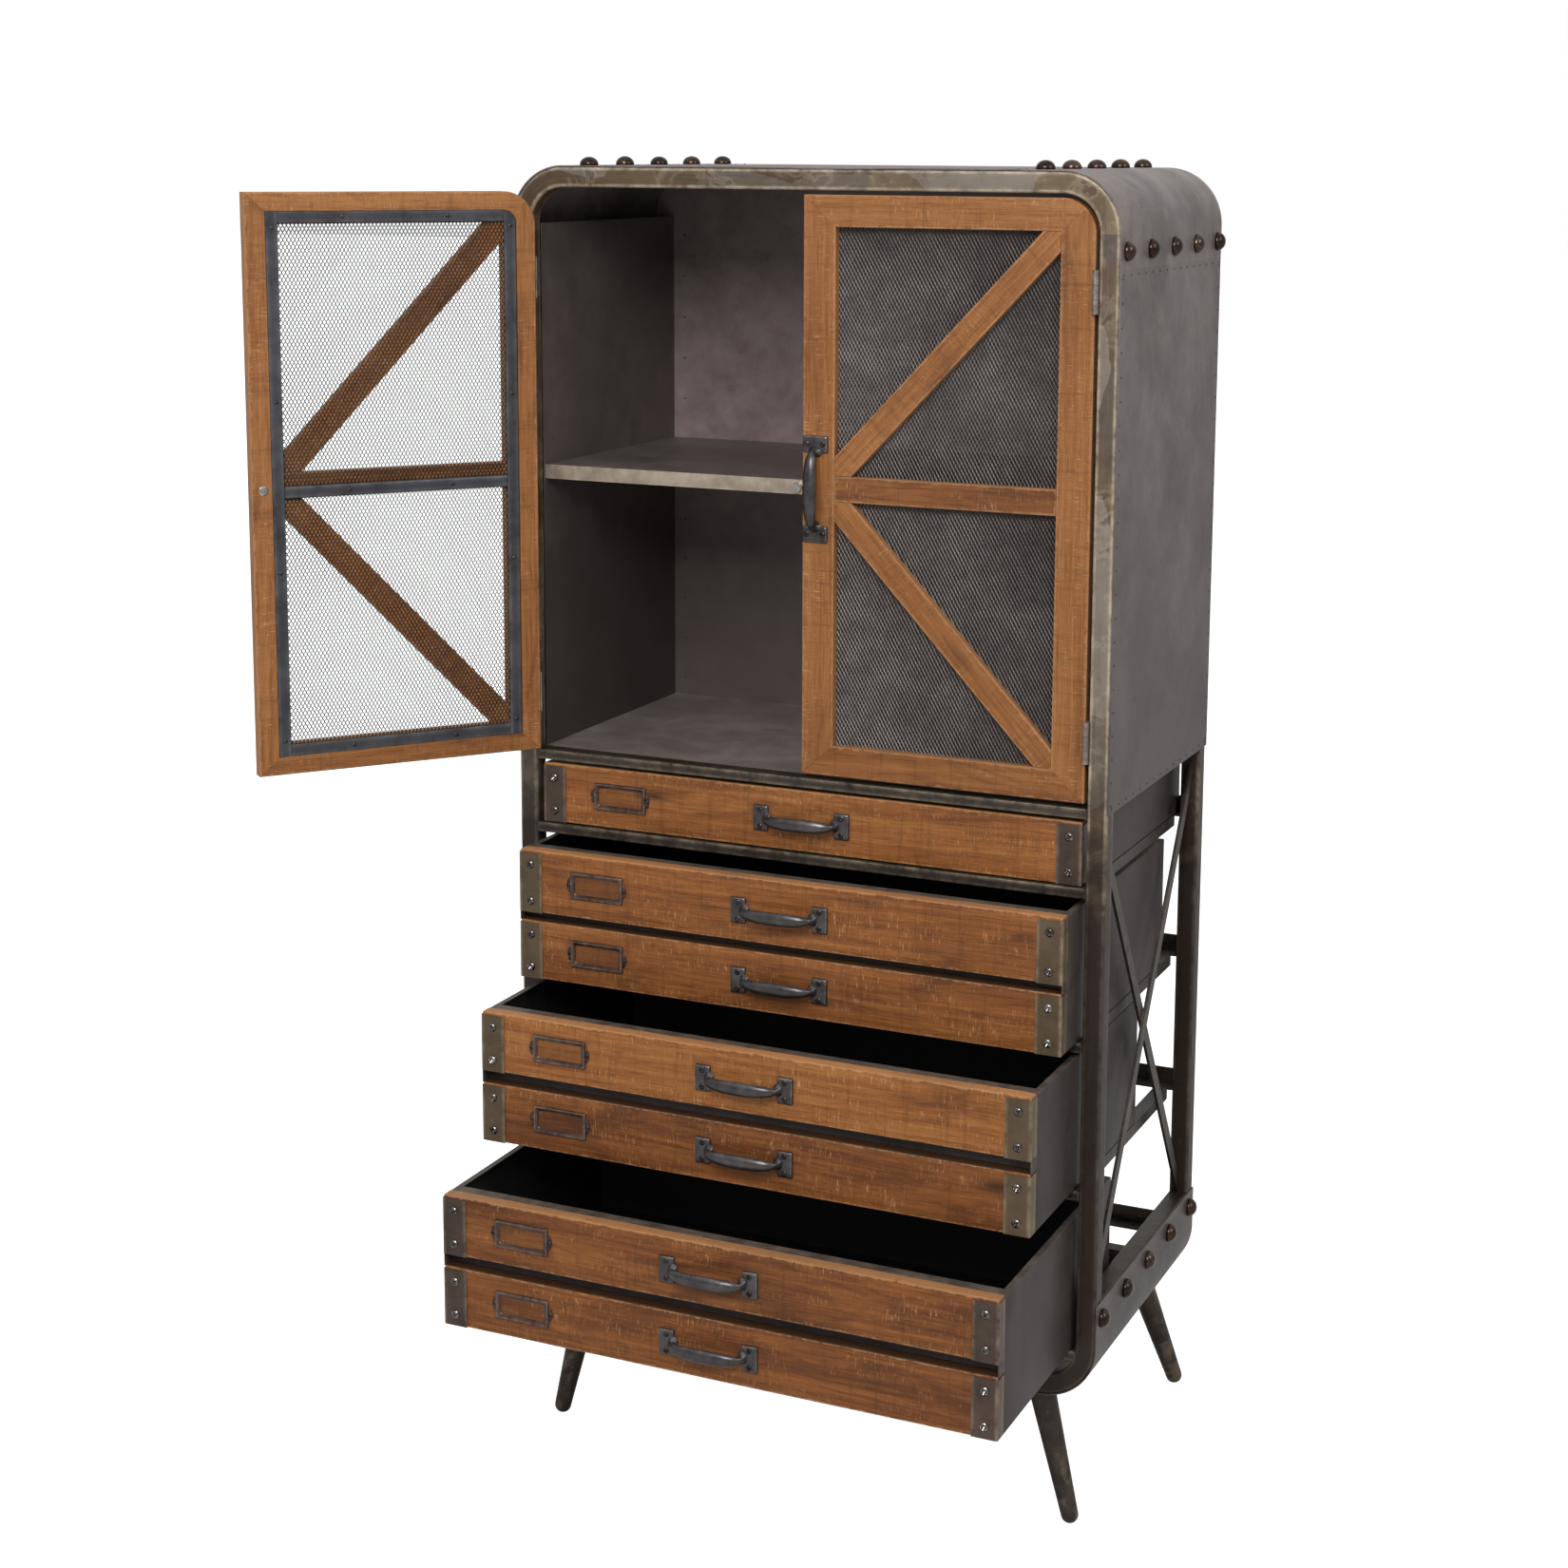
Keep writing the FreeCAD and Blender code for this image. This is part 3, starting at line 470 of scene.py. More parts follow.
def steel(name, dark, mid, light, worn, rough=(0.34, 0.52), metallic=0.7, size=1.0, islands=0.0,
          island=(0.02, 0.014, 0.01), edge_wear=0.8, rust=0.0, lower=None, tube=False,
          specular=0.5, tone_span=0.14):
    """Lacquered steel: soft clouds, hard-edged stains, fine scratches and rubbed edges.
    lower=(z of half strength, colour, strength, half height) darkens towards the floor: painted
    shade on the sheets, a darker lower part on the frame.
    tube=True takes ground and brushed zones along the grain attribute, as on the bent tubes."""
    n = Nodes(name)
    co = n.object_coords()
    cloud = n.noise(co, 7.5 * size, 6, 0.62, 0.3)
    small = n.noise(co, 38 * size, 5, 0.68, 0.2)
    fine = n.noise(co, 520 * size, 3, 0.6)
    tone = n.blend((cloud, 0.62), (small, 0.38))
    if tube:
        run = n.attribute("grain", "Vector")
        ragged = n.vmath("MULTIPLY", n.drift(run, 70.0, 5.0), (0.016, 0.006, 0.006))
        zones = n.vmath("MULTIPLY", n.vmath("ADD", run, ragged), (11.0, 26.0, 26.0))
        pick = n.parts(n.new("ShaderNodeTexVoronoi", out="Color", Vector=zones, Scale=1.0))
        brushed = n.streaks(run, (14.0, 900.0, 900.0), 4, 0.6)
        tone = n.blend((tone, 0.5), (brushed, 0.24), (pick[0], 0.26))
    color = n.ramp(tone, (0.5 - tone_span, dark), (0.5, mid), (0.5 + tone_span, light))
    if tube:
        grey = n.new("ShaderNodeHueSaturation", Color=color, Saturation=0.6, Value=1.02)
        color = n.mix(n.ramp(pick[1], (0.60, 0.0), (0.64, 0.9)), color, grey)
        brown = n.mix(1.0, color, (0.62, 0.46, 0.40), "MULTIPLY")
        color = n.mix(n.ramp(pick[2], (0.66, 0.0), (0.70, 0.85)), color, brown)
    if islands:
        shape = n.blend((n.noise(co, 13 * size, 7, 0.62, 0.8), 0.8), (small, 0.2))
        color = n.tint(color, n.ramp(shape, (0.57, 0.0), (0.60, 1.0)), islands, island)
        halo = n.ramp(shape, (0.52, 0.0), (0.57, 1.0), (0.60, 0.0))
        color = n.tint(color, halo, islands * 0.35, worn)
    if rust:
        spots = n.ramp(n.noise(co, 60 * size, 6, 0.7, 0.5), (0.60, 0.0), (0.68, 1.0))
        color = n.tint(color, spots, rust, (0.11, 0.035, 0.014))
    # Darker towards the floor: on the sheet panels this is painted shade.
    if lower:
        middle, shade, strength, half = lower
        reach = 0.5 if tube else 0.2
        uneven = n.line(n.noise(co, 12, 6, 0.65, 0.5), reach, -reach / 2)
        drop = n.remap(n.add(n.parts(co)[2], uneven), middle + half, middle - half)
        color = n.tint(color, drop, strength, shade)
    scratch = n.ramp(n.streaks(co, (700, 700, 22), 3, 0.7), (0.70, 0.0), (0.74, 1.0))
    other = n.ramp(n.streaks(co, (24, 24, 640), 3, 0.7), (0.71, 0.0), (0.75, 1.0))
    color = n.tint(color, n.math("MAXIMUM", scratch, other), 0.22, worn)
    edge = n.attribute("edge")
    if tube:
        edge = n.math("POWER", edge, 7.0)
    rub = n.mul(edge, n.line(small, 2.4, -0.75, clamp=True))
    rub = n.math("MULTIPLY", rub, edge_wear, clamp=True)
    if tube and lower:
        rub = n.mul(rub, n.line(drop, -0.85, 1.0))
    color = n.mix(rub, color, worn)
    roughness = n.remap(n.blend((small, 0.7), (fine, 0.3)), 0.3, 0.7, *rough)
    normal = n.bump(n.blend((fine, 0.3), (small, 1)), 0.22, 0.0005)
    return n.finish(color, roughness, metallic, normal, specular)


def sawn_wood(name, pale, mid, deep, dark, marks, rim_wear, fittings=()):
    """Rough-sawn stained fir. The grain runs along the plank's u axis, saw marks across it.
    The tone attribute is how much stain a board has taken; the faces in the gaps between
    slats get painted shade from a further attribute.
    fittings lists (u, half width, half height) of iron fittings that have stained the board."""
    n = Nodes(name)
    bare = (pale[0] * 1.8, pale[1] * 2.5, pale[2] * 4.4)
    grain = n.attribute("grain", "Vector")
    half_length, half_width, seed = n.parts(n.attribute("plank", "Vector"))
    stain = n.attribute("tone")
    seeds = n.new("ShaderNodeCombineXYZ", X=seed, Y=seed, Z=seed)
    co = n.vmath("ADD", grain, n.vmath("MULTIPLY", seeds, (13.7, 7.3, 3.9)))
    bend = n.drift(n.vmath("MULTIPLY", co, (2.4, 9.0, 9.0)), 1.0, 2.0)
    bend = n.new("ShaderNodeVectorMath", settings={"operation": "SCALE"}, i0=bend, Scale=0.02)
    curved = n.vmath("ADD", co, bend)
    warp = n.streaks(co, (5.0, 30.0, 30.0), 5, 0.65)
    rings = n.streaks(curved, (2.6, 210.0, 150.0), 5, 0.65, 0.3)
    fibre = n.streaks(curved, (34.0, 1300.0, 900.0), 4, 0.7)
    zone = n.streaks(co, (6.5, 26.0, 26.0), 5, 0.65, 0.8)

    tone = n.blend((rings, 0.34), (warp, 0.32), (fibre, 0.34))
    tone = n.sub(tone, n.line(stain, 0.13, -0.05))
    color = n.ramp(tone, (0.29, dark), (0.40, deep), (0.50, mid), (0.61, pale))
    smudge = n.ramp(n.blend((zone, 1), (stain, 0.12)), (0.58, 0.0), (0.74, 1.0))
    color = n.tint(color, smudge, 0.65, dark)
    color = n.tint(color, n.ramp(fibre, (0.36, 1.0), (0.44, 0.0)), 0.4, dark)
    knots = n.new("ShaderNodeTexVoronoi", out="Distance", Scale=1.0, Randomness=1.0,
                  Vector=n.vmath("MULTIPLY", co, (4.2, 13.0, 0.01)))
    knot = n.ramp(n.line(rings, 0.05, knots), (0.055, 1.0), (0.085, 0.55), (0.15, 0.0))
    color = n.tint(color, knot, 0.8, tuple(c * 0.45 for c in dark))

    saw = n.streaks(co, (620.0, 90.0, 90.0), 4, 0.75)
    saw_wide = n.streaks(co, (170.0, 9.0, 9.0), 4, 0.7)
    patch = n.sub(n.streaks(co, (12.0, 40.0, 40.0), 5, 0.7), n.mul(stain, 0.07))
    patch = n.ramp(patch, (0.42, 0.06), (0.58, 1.0))
    fleck = n.mul(n.ramp(saw, (0.57, 0.0), (0.63, 1.0)), patch)
    color = n.tint(color, fleck, marks, bare)
    color = n.tint(color, n.ramp(saw_wide, (0.34, 1.0), (0.46, 0.0)), 0.28, dark)

    along, across, _ = n.parts(grain)
    from_side = n.sub(half_width, n.math("ABSOLUTE", across))
    from_end = n.sub(half_length, n.math("ABSOLUTE", along))
    rub = n.streaks(co, (120.0, 120.0, 120.0), 5, 0.75)
    rim = n.sub(n.math("MINIMUM", from_side, from_end), n.line(rub, 0.0090, -0.0036))
    color = n.tint(color, n.ramp(n.mul(rim, 700.0), (0.1, 1.0), (0.75, 0.0)), rim_wear, bare)

    for u, half_w, half_h in fittings:
        du = n.sub(n.math("ABSOLUTE", n.sub(along, u)), half_w)
        dv = n.sub(n.math("ABSOLUTE", across), half_h)
        away = n.sub(n.math("MAXIMUM", du, dv), n.line(warp, 0.034, -0.018))
        halo = n.ramp(n.line(away, 90.0, 0.5), (0.25, 1.0), (0.85, 0.0))
        color = n.tint(color, halo, 0.38, dark)
    # Painted shade on the slat faces that look into the gaps between slats.
    color = n.tint(color, n.attribute("soot"), 0.9, tuple(c * 0.3 for c in dark))

    height = n.sub(n.blend((saw, 0.5), (fibre, 0.4), (saw_wide, 0.6)), n.mul(knot, 0.5))
    rough = n.remap(fibre, 0.3, 0.7, 0.48, 0.7)
    return n.finish(color, rough, 0.0, n.bump(height, 0.6, 0.0008), specular=0.25)


# A steel's colours are for its darkest, middle and lightest clouds, then where it is rubbed.
# A timber's are its pale, middle and deep bands, then its knots and grime; the last also
# gives the painted shade in the gaps between slats.
MAT = {
    "frame": steel("frame_steel", (0.056, 0.037, 0.022), (0.096, 0.068, 0.041),
                   (0.155, 0.117, 0.077), (0.42, 0.35, 0.26), islands=0.45, edge_wear=0.8,
                   island=(0.042, 0.027, 0.020), rust=0.4, size=1.5, tube=True, metallic=0.15,
                   specular=0.22, lower=(0.70, (0.018, 0.0115, 0.0090), 0.96, 0.09)),
    # The drawer boxes' steel is darker than the skin as painted shade on their sides, set back in
    # the frame.
    "box": steel("box_steel", (0.030, 0.024, 0.022), (0.043, 0.034, 0.032),
                 (0.058, 0.047, 0.044), (0.2, 0.165, 0.12), rough=(0.36, 0.5), size=1.4,
                 metallic=0.15, specular=0.15, edge_wear=0.4),
    # The skin darkens towards the floor as painted shade.
    "skin": steel("skin_steel", (0.086, 0.069, 0.068), (0.132, 0.108, 0.106),
                  (0.186, 0.156, 0.154), (0.24, 0.20, 0.15), rough=(0.34, 0.5), size=1.3,
                  edge_wear=0.35, islands=0.25, island=(0.07, 0.055, 0.053), metallic=0.15,
                  specular=0.25, tone_span=0.115, lower=(0.92, (0.034, 0.026, 0.025), 0.9, 0.42)),
    # The inner walls darken from the shelf down as painted shadow.
    "inner": steel("inner_steel", (0.080, 0.063, 0.060), (0.110, 0.088, 0.084),
                   (0.145, 0.118, 0.113), (0.2, 0.16, 0.12), rough=(0.4, 0.55), size=0.9,
                   metallic=0.35, rust=0.25, edge_wear=0.3,
                   lower=(0.96, (0.050, 0.038, 0.035), 0.75, 0.06)),
    # The back panel darkens from the shelf down as painted shadow.
    "back": steel("back_steel", (0.125, 0.094, 0.090), (0.175, 0.136, 0.130),
                  (0.225, 0.180, 0.172), (0.3, 0.24, 0.2), rough=(0.4, 0.55), size=0.9,
                  metallic=0.25, rust=0.3, edge_wear=0.3,
                  lower=(0.93, (0.062, 0.047, 0.044), 0.85, 0.12)),
    "floor_sheet": steel("compartment_steel", (0.140, 0.112, 0.100), (0.200, 0.162, 0.148),
                         (0.270, 0.225, 0.205), (0.32, 0.27, 0.22), rough=(0.4, 0.55), size=0.9,
                         metallic=0.3, rust=0.2, edge_wear=0.3),
    "lip": steel("lip_steel", (0.20, 0.16, 0.12), (0.30, 0.25, 0.195), (0.38, 0.33, 0.265),
                 (0.5, 0.43, 0.32), size=1.5, metallic=0.5),
    "bar": steel("bar_steel", (0.022, 0.017, 0.014), (0.042, 0.034, 0.028),
                 (0.070, 0.058, 0.046), (0.24, 0.19, 0.13), islands=0.3, size=2.0, rust=0.3),
    "plate": steel("plate_steel", (0.056, 0.037, 0.021), (0.084, 0.058, 0.033),
                   (0.112, 0.080, 0.047), (0.32, 0.25, 0.16), size=1.6, edge_wear=0.7,
                   metallic=0.5, specular=0.4),
    "plate_dark": steel("plate_dark_steel", (0.038, 0.025, 0.018), (0.061, 0.041, 0.031),
                        (0.086, 0.059, 0.045), (0.28, 0.2, 0.14), size=1.6, edge_wear=0.7,
                        metallic=0.5, specular=0.4),
    "leg": steel("leg_steel", (0.018, 0.012, 0.010), (0.036, 0.026, 0.020),
                 (0.068, 0.050, 0.036), (0.32, 0.26, 0.17), islands=0.35,
                 island=(0.20, 0.15, 0.09), size=2.4, metallic=0.6),
    "rivet": steel("rivet_steel", (0.016, 0.010, 0.008), (0.038, 0.024, 0.018),
                   (0.085, 0.056, 0.042), (0.40, 0.31, 0.21), rough=(0.16, 0.30), metallic=0.9,
                   size=3.5),
    "label": steel("label_copper", (0.020, 0.011, 0.009), (0.042, 0.023, 0.018),
                   (0.070, 0.041, 0.034), (0.30, 0.19, 0.14), rough=(0.24, 0.38), metallic=0.5,
                   size=3.0, edge_wear=0.55),
    "screw": steel("screw_steel", (0.05, 0.043, 0.04), (0.13, 0.118, 0.112),
                   (0.28, 0.26, 0.25), (0.5, 0.48, 0.45), rough=(0.14, 0.28), metallic=1.0,
                   size=5.0),
    "screw_dark": steel("small_screw_steel", (0.015, 0.011, 0.010), (0.035, 0.026, 0.023),
                        (0.08, 0.065, 0.056), (0.3, 0.25, 0.2), rough=(0.2, 0.4), metallic=0.9,
                        size=5.0),
    "iron": steel("handle_iron", (0.038, 0.034, 0.036), (0.066, 0.060, 0.062),
                  (0.105, 0.096, 0.099), (0.28, 0.26, 0.26), rough=(0.24, 0.38), metallic=0.8,
                  size=3.0, edge_wear=0.6),
    "mesh": steel("mesh_steel", (0.034, 0.029, 0.027), (0.062, 0.054, 0.051),
                  (0.10, 0.088, 0.084), (0.2, 0.18, 0.16), rough=(0.32, 0.46), metallic=0.7,
                  size=2.0),
    # Lit and shaded copies of the mesh steel for the right door: painted light on the strands that
    # lean one way, painted shade on the others.
    "mesh_lit": steel("mesh_painted_lit", (0.070, 0.059, 0.056), (0.118, 0.101, 0.095),
                      (0.175, 0.152, 0.143), (0.4, 0.36, 0.33), rough=(0.3, 0.45), metallic=0.6,
                      size=2.0),
    "mesh_shade": steel("mesh_painted_shade", (0.006, 0.005, 0.0045), (0.012, 0.010, 0.009),
                        (0.022, 0.019, 0.017), (0.06, 0.05, 0.045), rough=(0.5, 0.65),
                        metallic=0.2, size=2.0),
    "hinge": steel("hinge_steel", (0.10, 0.075, 0.062), (0.19, 0.155, 0.135),
                   (0.28, 0.24, 0.21), (0.4, 0.35, 0.3), size=4.0, rust=0.5),
    "catch": steel("catch_steel", (0.25, 0.24, 0.22), (0.45, 0.43, 0.40), (0.6, 0.58, 0.55),
                   (0.7, 0.68, 0.64), rough=(0.15, 0.3), metallic=1.0, size=4.0),
    "tack": steel("tack_steel", (0.022, 0.017, 0.016), (0.04, 0.033, 0.031),
                  (0.065, 0.055, 0.052), (0.16, 0.13, 0.10), size=4.0),
    "retainer": steel("retainer_steel", (0.032, 0.032, 0.037), (0.050, 0.051, 0.058),
                      (0.072, 0.074, 0.082), (0.17, 0.165, 0.165), size=1.2, edge_wear=0.5,
                      rust=0.15),
    # The drawer insides: black paint and painted shade.
    "black": steel("black_paint_and_shade", (0.003, 0.003, 0.003), (0.0045, 0.0045, 0.004),
                   (0.007, 0.007, 0.006), (0.015, 0.014, 0.012), rough=(0.5, 0.7),
                   metallic=0.0),
    "wood_door": sawn_wood("door_wood", (0.250, 0.105, 0.032), (0.185, 0.069, 0.0175),
                           (0.119, 0.040, 0.0095), (0.058, 0.0175, 0.005), marks=0.45,
                           rim_wear=0.25),
    "wood_drawer": sawn_wood("drawer_wood", (0.265, 0.104, 0.027), (0.180, 0.061, 0.0135),
                             (0.110, 0.034, 0.007), (0.046, 0.0135, 0.0035), marks=0.55,
                             rim_wear=0.35,
                             fittings=[(LABEL_X, 0.030, 0.013), (-0.0435, 0.008, 0.013),
                                       (0.0435, 0.008, 0.013)]),
}


# ---- Carcass ----
def frame_stations(y, inset):
    """Stations round the frame's rounded rectangle, on the tube's centre line."""
    bend = CORNER_R - inset
    x1, z0, z1 = HALF_W - inset, BOTTOM + inset, TOP - inset
    corners = [(x1 - bend, z1 - bend, 0), (-x1 + bend, z1 - bend, 90),
               (-x1 + bend, z0 + bend, 180), (x1 - bend, z0 + bend, 270)]
    stations = []
    for k, (cx, cz, start) in enumerate(corners):
        for a in angles(start, start + 90, 12):
            out = Vector((math.cos(a), 0, math.sin(a)))
            stations.append((Vector((cx, y, cz)) + out * bend, out, TO_FRONT))
        nx, nz, _ = corners[(k + 1) % 4]
        p, q = stations[-1][0], Vector((nx, y, nz)) + out * bend
        count = max(int((q - p).length / (50 * MM)), 2)
        stations += [(p.lerp(q, t), out, TO_FRONT) for t in spread(0, 1, count)[1:-1]]
    return stations


def tube_frames():
    """The bent tubes. Their grain is (way along, across, height), for the zones of polish."""
    for name, y in (("front_frame", FRONT + TUBE / 2), ("back_frame", BACK - TUBE / 2)):
        mesh = Mesh()
        stations = frame_stations(y, TUBE / 2)
        stations.append(stations[0])
        section = rounded_rect(TUBE, TUBE, TUBE_EDGE_R)
        along, grain = 0.0, []
        for k, station in enumerate(stations):
            if k:
                along += (station[0] - stations[k - 1][0]).length
            grain += [Vector((along, a, b + y * 7)) for a, b, _ in section]
        sweep(mesh, stations, section, ends=False, grain=grain,
              plank=Vector((along, TUBE, 0)))
        mesh.to_object(name + "_looks", "frame", "frame_steel", "carcass", [name])


def rivets():
    """Rows of five domes along the depth, at the ends of each corner wrap."""
    mesh = Mesh()
    for y in spread(FRONT + RIVET_FIRST_Y, BACK - RIVET_FIRST_Y, 4):
        for sx in (-1, 1):
            side = Vector((sx, 0, 0))
            seats = [((sx * (HALF_W - RIVET_TOP_INSET), y, TOP + SKIN), UP),
                     ((sx * (HALF_W + SKIN), y, RIVET_UPPER_Z), side),
                     ((sx * (HALF_W + SKIN), y, RIVET_LOWER_Z), side)]
            for seat, out in seats:
                profile = dome_profile(RIVET_R * rng.uniform(0.96, 1.0),
                                       RIVET_H * rng.uniform(0.93, 1.0), 8, RIVET_SKIRT)
                start = len(mesh.verts)
                lathe(mesh, seat, out, profile, 32)
                mesh.verts[start:] = [v - out * RIVET_DENT * abs(noise.noise(v * 260))
                                      for v in mesh.verts[start:]]
    mesh.to_object("dome_rivets_looks", "rivet", "rivet_steel", "carcass", ["dome_rivets"], 60)


def corner_line(top):
    """The (x, z) line of the right-hand corner wrap's inner face."""
    reach, cx = HALF_W - WRAP_REACH, HALF_W - CORNER_R
    bend = [(math.sin(a) * CORNER_R, math.cos(a) * CORNER_R) for a in angles(0, 90, 24)[1:]]
    if top:
        cz = TOP - CORNER_R
        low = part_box("right_side_panel")[1].z
        line = [(x, TOP) for x in spread(reach, cx, 3)]
        line += [(cx + s, cz + c) for s, c in bend]
        return line + [(HALF_W, z) for z in spread(cz, low, 3)[1:]]
    cz = BOTTOM + CORNER_R
    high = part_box("right_bottom_corner_wrap")[1].z
    line = [(HALF_W, z) for z in spread(high, cz, 3)]
    line += [(cx + c, cz - s) for s, c in bend]
    return line + [(x, BOTTOM) for x in spread(cx, reach, 3)[1:]]


def corner_wraps():
    for side, sx in (("left", -1), ("right", 1)):
        for place in ("top", "bottom"):
            mesh = Mesh()
            thin_sheet(mesh, corner_line(place == "top"), FRONT, BACK, SKIN)
            mesh.transform(Matrix.Diagonal((sx, 1, 1, 1)))
            node = "%s_%s_corner_wrap" % (side, place)
            mesh.to_object(node + "_looks", "skin", "skin_steel", "carcass", [node])


def tacks():
    """Tiny domed nails along the seams of the side panels, the top and the back panel."""
    panel_lo, panel_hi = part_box("right_side_panel")
    wall_lo, wall_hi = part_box("inner_side_walls")
    back_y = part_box("back_panel")[0].y
    heads = []
    for sx in (-1, 1):
        side = Vector((sx, 0, 0))
        x = sx * (HALF_W + SKIN)
        for y in spread(FRONT + TACK_FROM_END, BACK - TACK_FROM_END, 14):
            heads += [((x, y, panel_hi.z - 5 * MM), side), ((x, y, panel_lo.z + 5 * MM), side),
                      ((sx * (HALF_W - WRAP_REACH - TACK_FROM_EDGE), y, TOP + SKIN), UP)]
        for z in spread(panel_lo.z + TACK_FROM_END, panel_hi.z - TACK_FROM_END, 22):
            heads += [((x, BACK - TACK_FROM_EDGE, z), side),
                      ((x, FRONT + TACK_FROM_EDGE, z), side)]
        for z in spread(wall_lo.z + 20 * MM, wall_hi.z - 20 * MM, 11):
            heads.append(((sx * (INNER_X - 14 * MM), back_y, z), TO_FRONT))
    mesh = Mesh()
    for seat, out in heads:
        lathe(mesh, seat, out, dome_profile(TACK_R, TACK_H, 3), 10)
    mesh.to_object("seam_tacks", "tack", "rivet_steel", "carcass", [], 60)


def weld_bead(mesh, points, radius, closed=False):
    """A lumpy bead of weld through points, open or closed."""
    n = len(points)
    stations = []
    for k, p in enumerate(points):
        before = points[k - 1] if closed or k else p
        after = points[(k + 1) % n] if closed or k < n - 1 else p
        u, v = axes_about((after - before).normalized())
        lump = 0.75 + 0.35 * abs(math.sin(k * 1.1)) + rng.uniform(-0.08, 0.08)
        stations.append((p, u * lump, v * lump))
    ring = [(radius * math.cos(a), radius * math.sin(a), 0.4) for a in around(8)]
    sweep(mesh, stations, ring, closed=closed)


def crossbars():
    """A bar under the cupboard and one under each drawer, welded to the front frame."""
    mesh, beads = Mesh(), Mesh()
    for z in [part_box("compartment_floor")[1].z] + SLIDE_LEVELS:
        bar(mesh, (-INNER_X, FRONT + 0.3 * MM, z - BAR_H), (INNER_X, FRONT + TUBE, z), "x",
            1.0 * MM, steps=12)
        for sx in (-1, 1):
            foot = Vector((sx * (INNER_X - 0.8 * MM), FRONT + 0.8 * MM, z - BAR_H))
            weld_bead(beads, [foot + UP * t for t in spread(0, BAR_H, 12)], BEAD_R)
    mesh.to_object("front_crossbars_looks", "bar", "bar_steel", "carcass", ["front_crossbars"])
    beads.to_object("crossbar_welds", "bar", "frame_steel", "carcass", [])


def leg_welds():
    """A bead round each leg, longer along its lean."""
    mesh = Mesh()
    for (x, y), (foot_x, foot_y) in LEG_PLACES:
        lean = Vector((foot_x - x, foot_y - y, 0)).normalized()
        side = Vector((-lean.y, lean.x, 0))
        seat = Vector((x, y, BOTTOM - SKIN))
        loop = [seat + lean * (math.cos(a) * LEG_WELD_LONG) + side * (math.sin(a) * LEG_WELD_WIDE)
                for a in around(48)]
        weld_bead(mesh, loop, LEG_BEAD_R, closed=True)
    mesh.to_object("leg_welds", "leg", "leg_steel", "carcass", [])


def shelf():
    """A thin tray turned down at the back, with a worn lip along its front."""
    lo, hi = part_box("shelf")
    tray = Mesh()
    bar(tray, (lo.x, lo.y + LIP_T, hi.z - SHELF_T), hi, "x", 0.3 * MM)
    bar(tray, (lo.x, hi.y - SHELF_T, lo.z), (hi.x, hi.y, hi.z - SHELF_T), "x", 0.3 * MM)
    tray.to_object("shelf_tray", "inner", "lip_steel", "carcass", ["shelf"])
    lip = Mesh()
    section = [(0.4 * MM, 0.0, 1.0), (0.9 * MM, 0.0, 0.8), (LIP_T, 0.0, 0.0),
               (LIP_T, -13.6 * MM, 0.0), (1.0 * MM, -14.4 * MM, 0.6),
               (0.2 * MM, -14.2 * MM, 1.0), (0.0, -12.6 * MM, 0.0), (0.0, 0.0, 0.6)]
    sweep(lip, [(Vector((x, lo.y, hi.z)), TO_BACK, UP) for x in spread(lo.x, hi.x, 16)], section)
    lip.to_object("shelf_front_lip", "lip", "lip_steel", "carcass", [])


# ---- Timber ----
def add_timber(mesh, verts, faces, y0, along, seed, tone):
    """Add a board whose grain runs along an (x, z) direction, measured from its middle."""
    along = Vector(along).normalized()
    across = Vector((-along.y, along.x))
    us = [Vector((v.x, v.z)).dot(along) for v in verts]
    vs = [Vector((v.x, v.z)).dot(across) for v in verts]
    mid_u, mid_v = (min(us) + max(us)) / 2, (min(vs) + max(vs)) / 2
    grain = [Vector((u - mid_u, w - mid_v, v.y - y0)) for u, w, v in zip(us, vs, verts)]
    mesh.add(verts, faces, grain=grain, tone=tone,
             plank=Vector((max(us) - mid_u, max(vs) - mid_v, seed)))


def plank_along_x(mesh, lo, hi, seed, tone, shaded_low, shaded_high):
    """A drawer slat: grain along X, rounded along its edges, slightly uneven. Its low or
    high edge gets painted shade where it faces the gap between the slats."""
    mid = (lo + hi) / 2
    length, depth, width = hi - lo
    end_round = 0.9 * MM
    stations = []
    for t in spread(-length / 2, length / 2, 44):
        uneven = 0.18 * MM * noise.noise(Vector((t * 30, seed, 0)))
        stations.append((mid + Vector((t, 0, uneven)), TO_BACK, UP, (1, 1)))
    for end in (0, -1):
        stations[end] = (*stations[end][:3], (1 - end_round / width,) * 2)
    section = rounded_rect(depth, width, WOOD_BEVEL, flat_steps=3, arc_steps=3)
    verts, edge = swept(stations, section)
    grain = [Vector((v.x - mid.x, v.z - mid.z, v.y - mid.y)) for v in verts]
    reach = width / 2 - end_round
    # Painted shade on the edge faces that look into the gap between the slats.
    soot = [1.0 if (shaded_high and g.y > reach) or (shaded_low and g.y < -reach) else 0.0
            for g in grain]
    mesh.add(verts, skin_faces(len(stations), len(section)), edge=edge, grain=grain, tone=tone,
             soot=soot, plank=Vector((length / 2, width / 2, seed)))


def clip(outline, axis, limit, sign):
    """Keep the part of a convex outline that is on one side of a limit along an axis."""
    kept = []
    for k, p in enumerate(outline):
        q = outline[(k + 1) % len(outline)]
        p_in, q_in = ((point[axis] - limit) * sign >= 0 for point in (p, q))
        if p_in:
            kept.append(p)
        if p_in != q_in:
            t = (limit - p[axis]) / (q[axis] - p[axis])
            kept.append((p[0] + (q[0] - p[0]) * t, p[1] + (q[1] - p[1]) * t))
    return kept


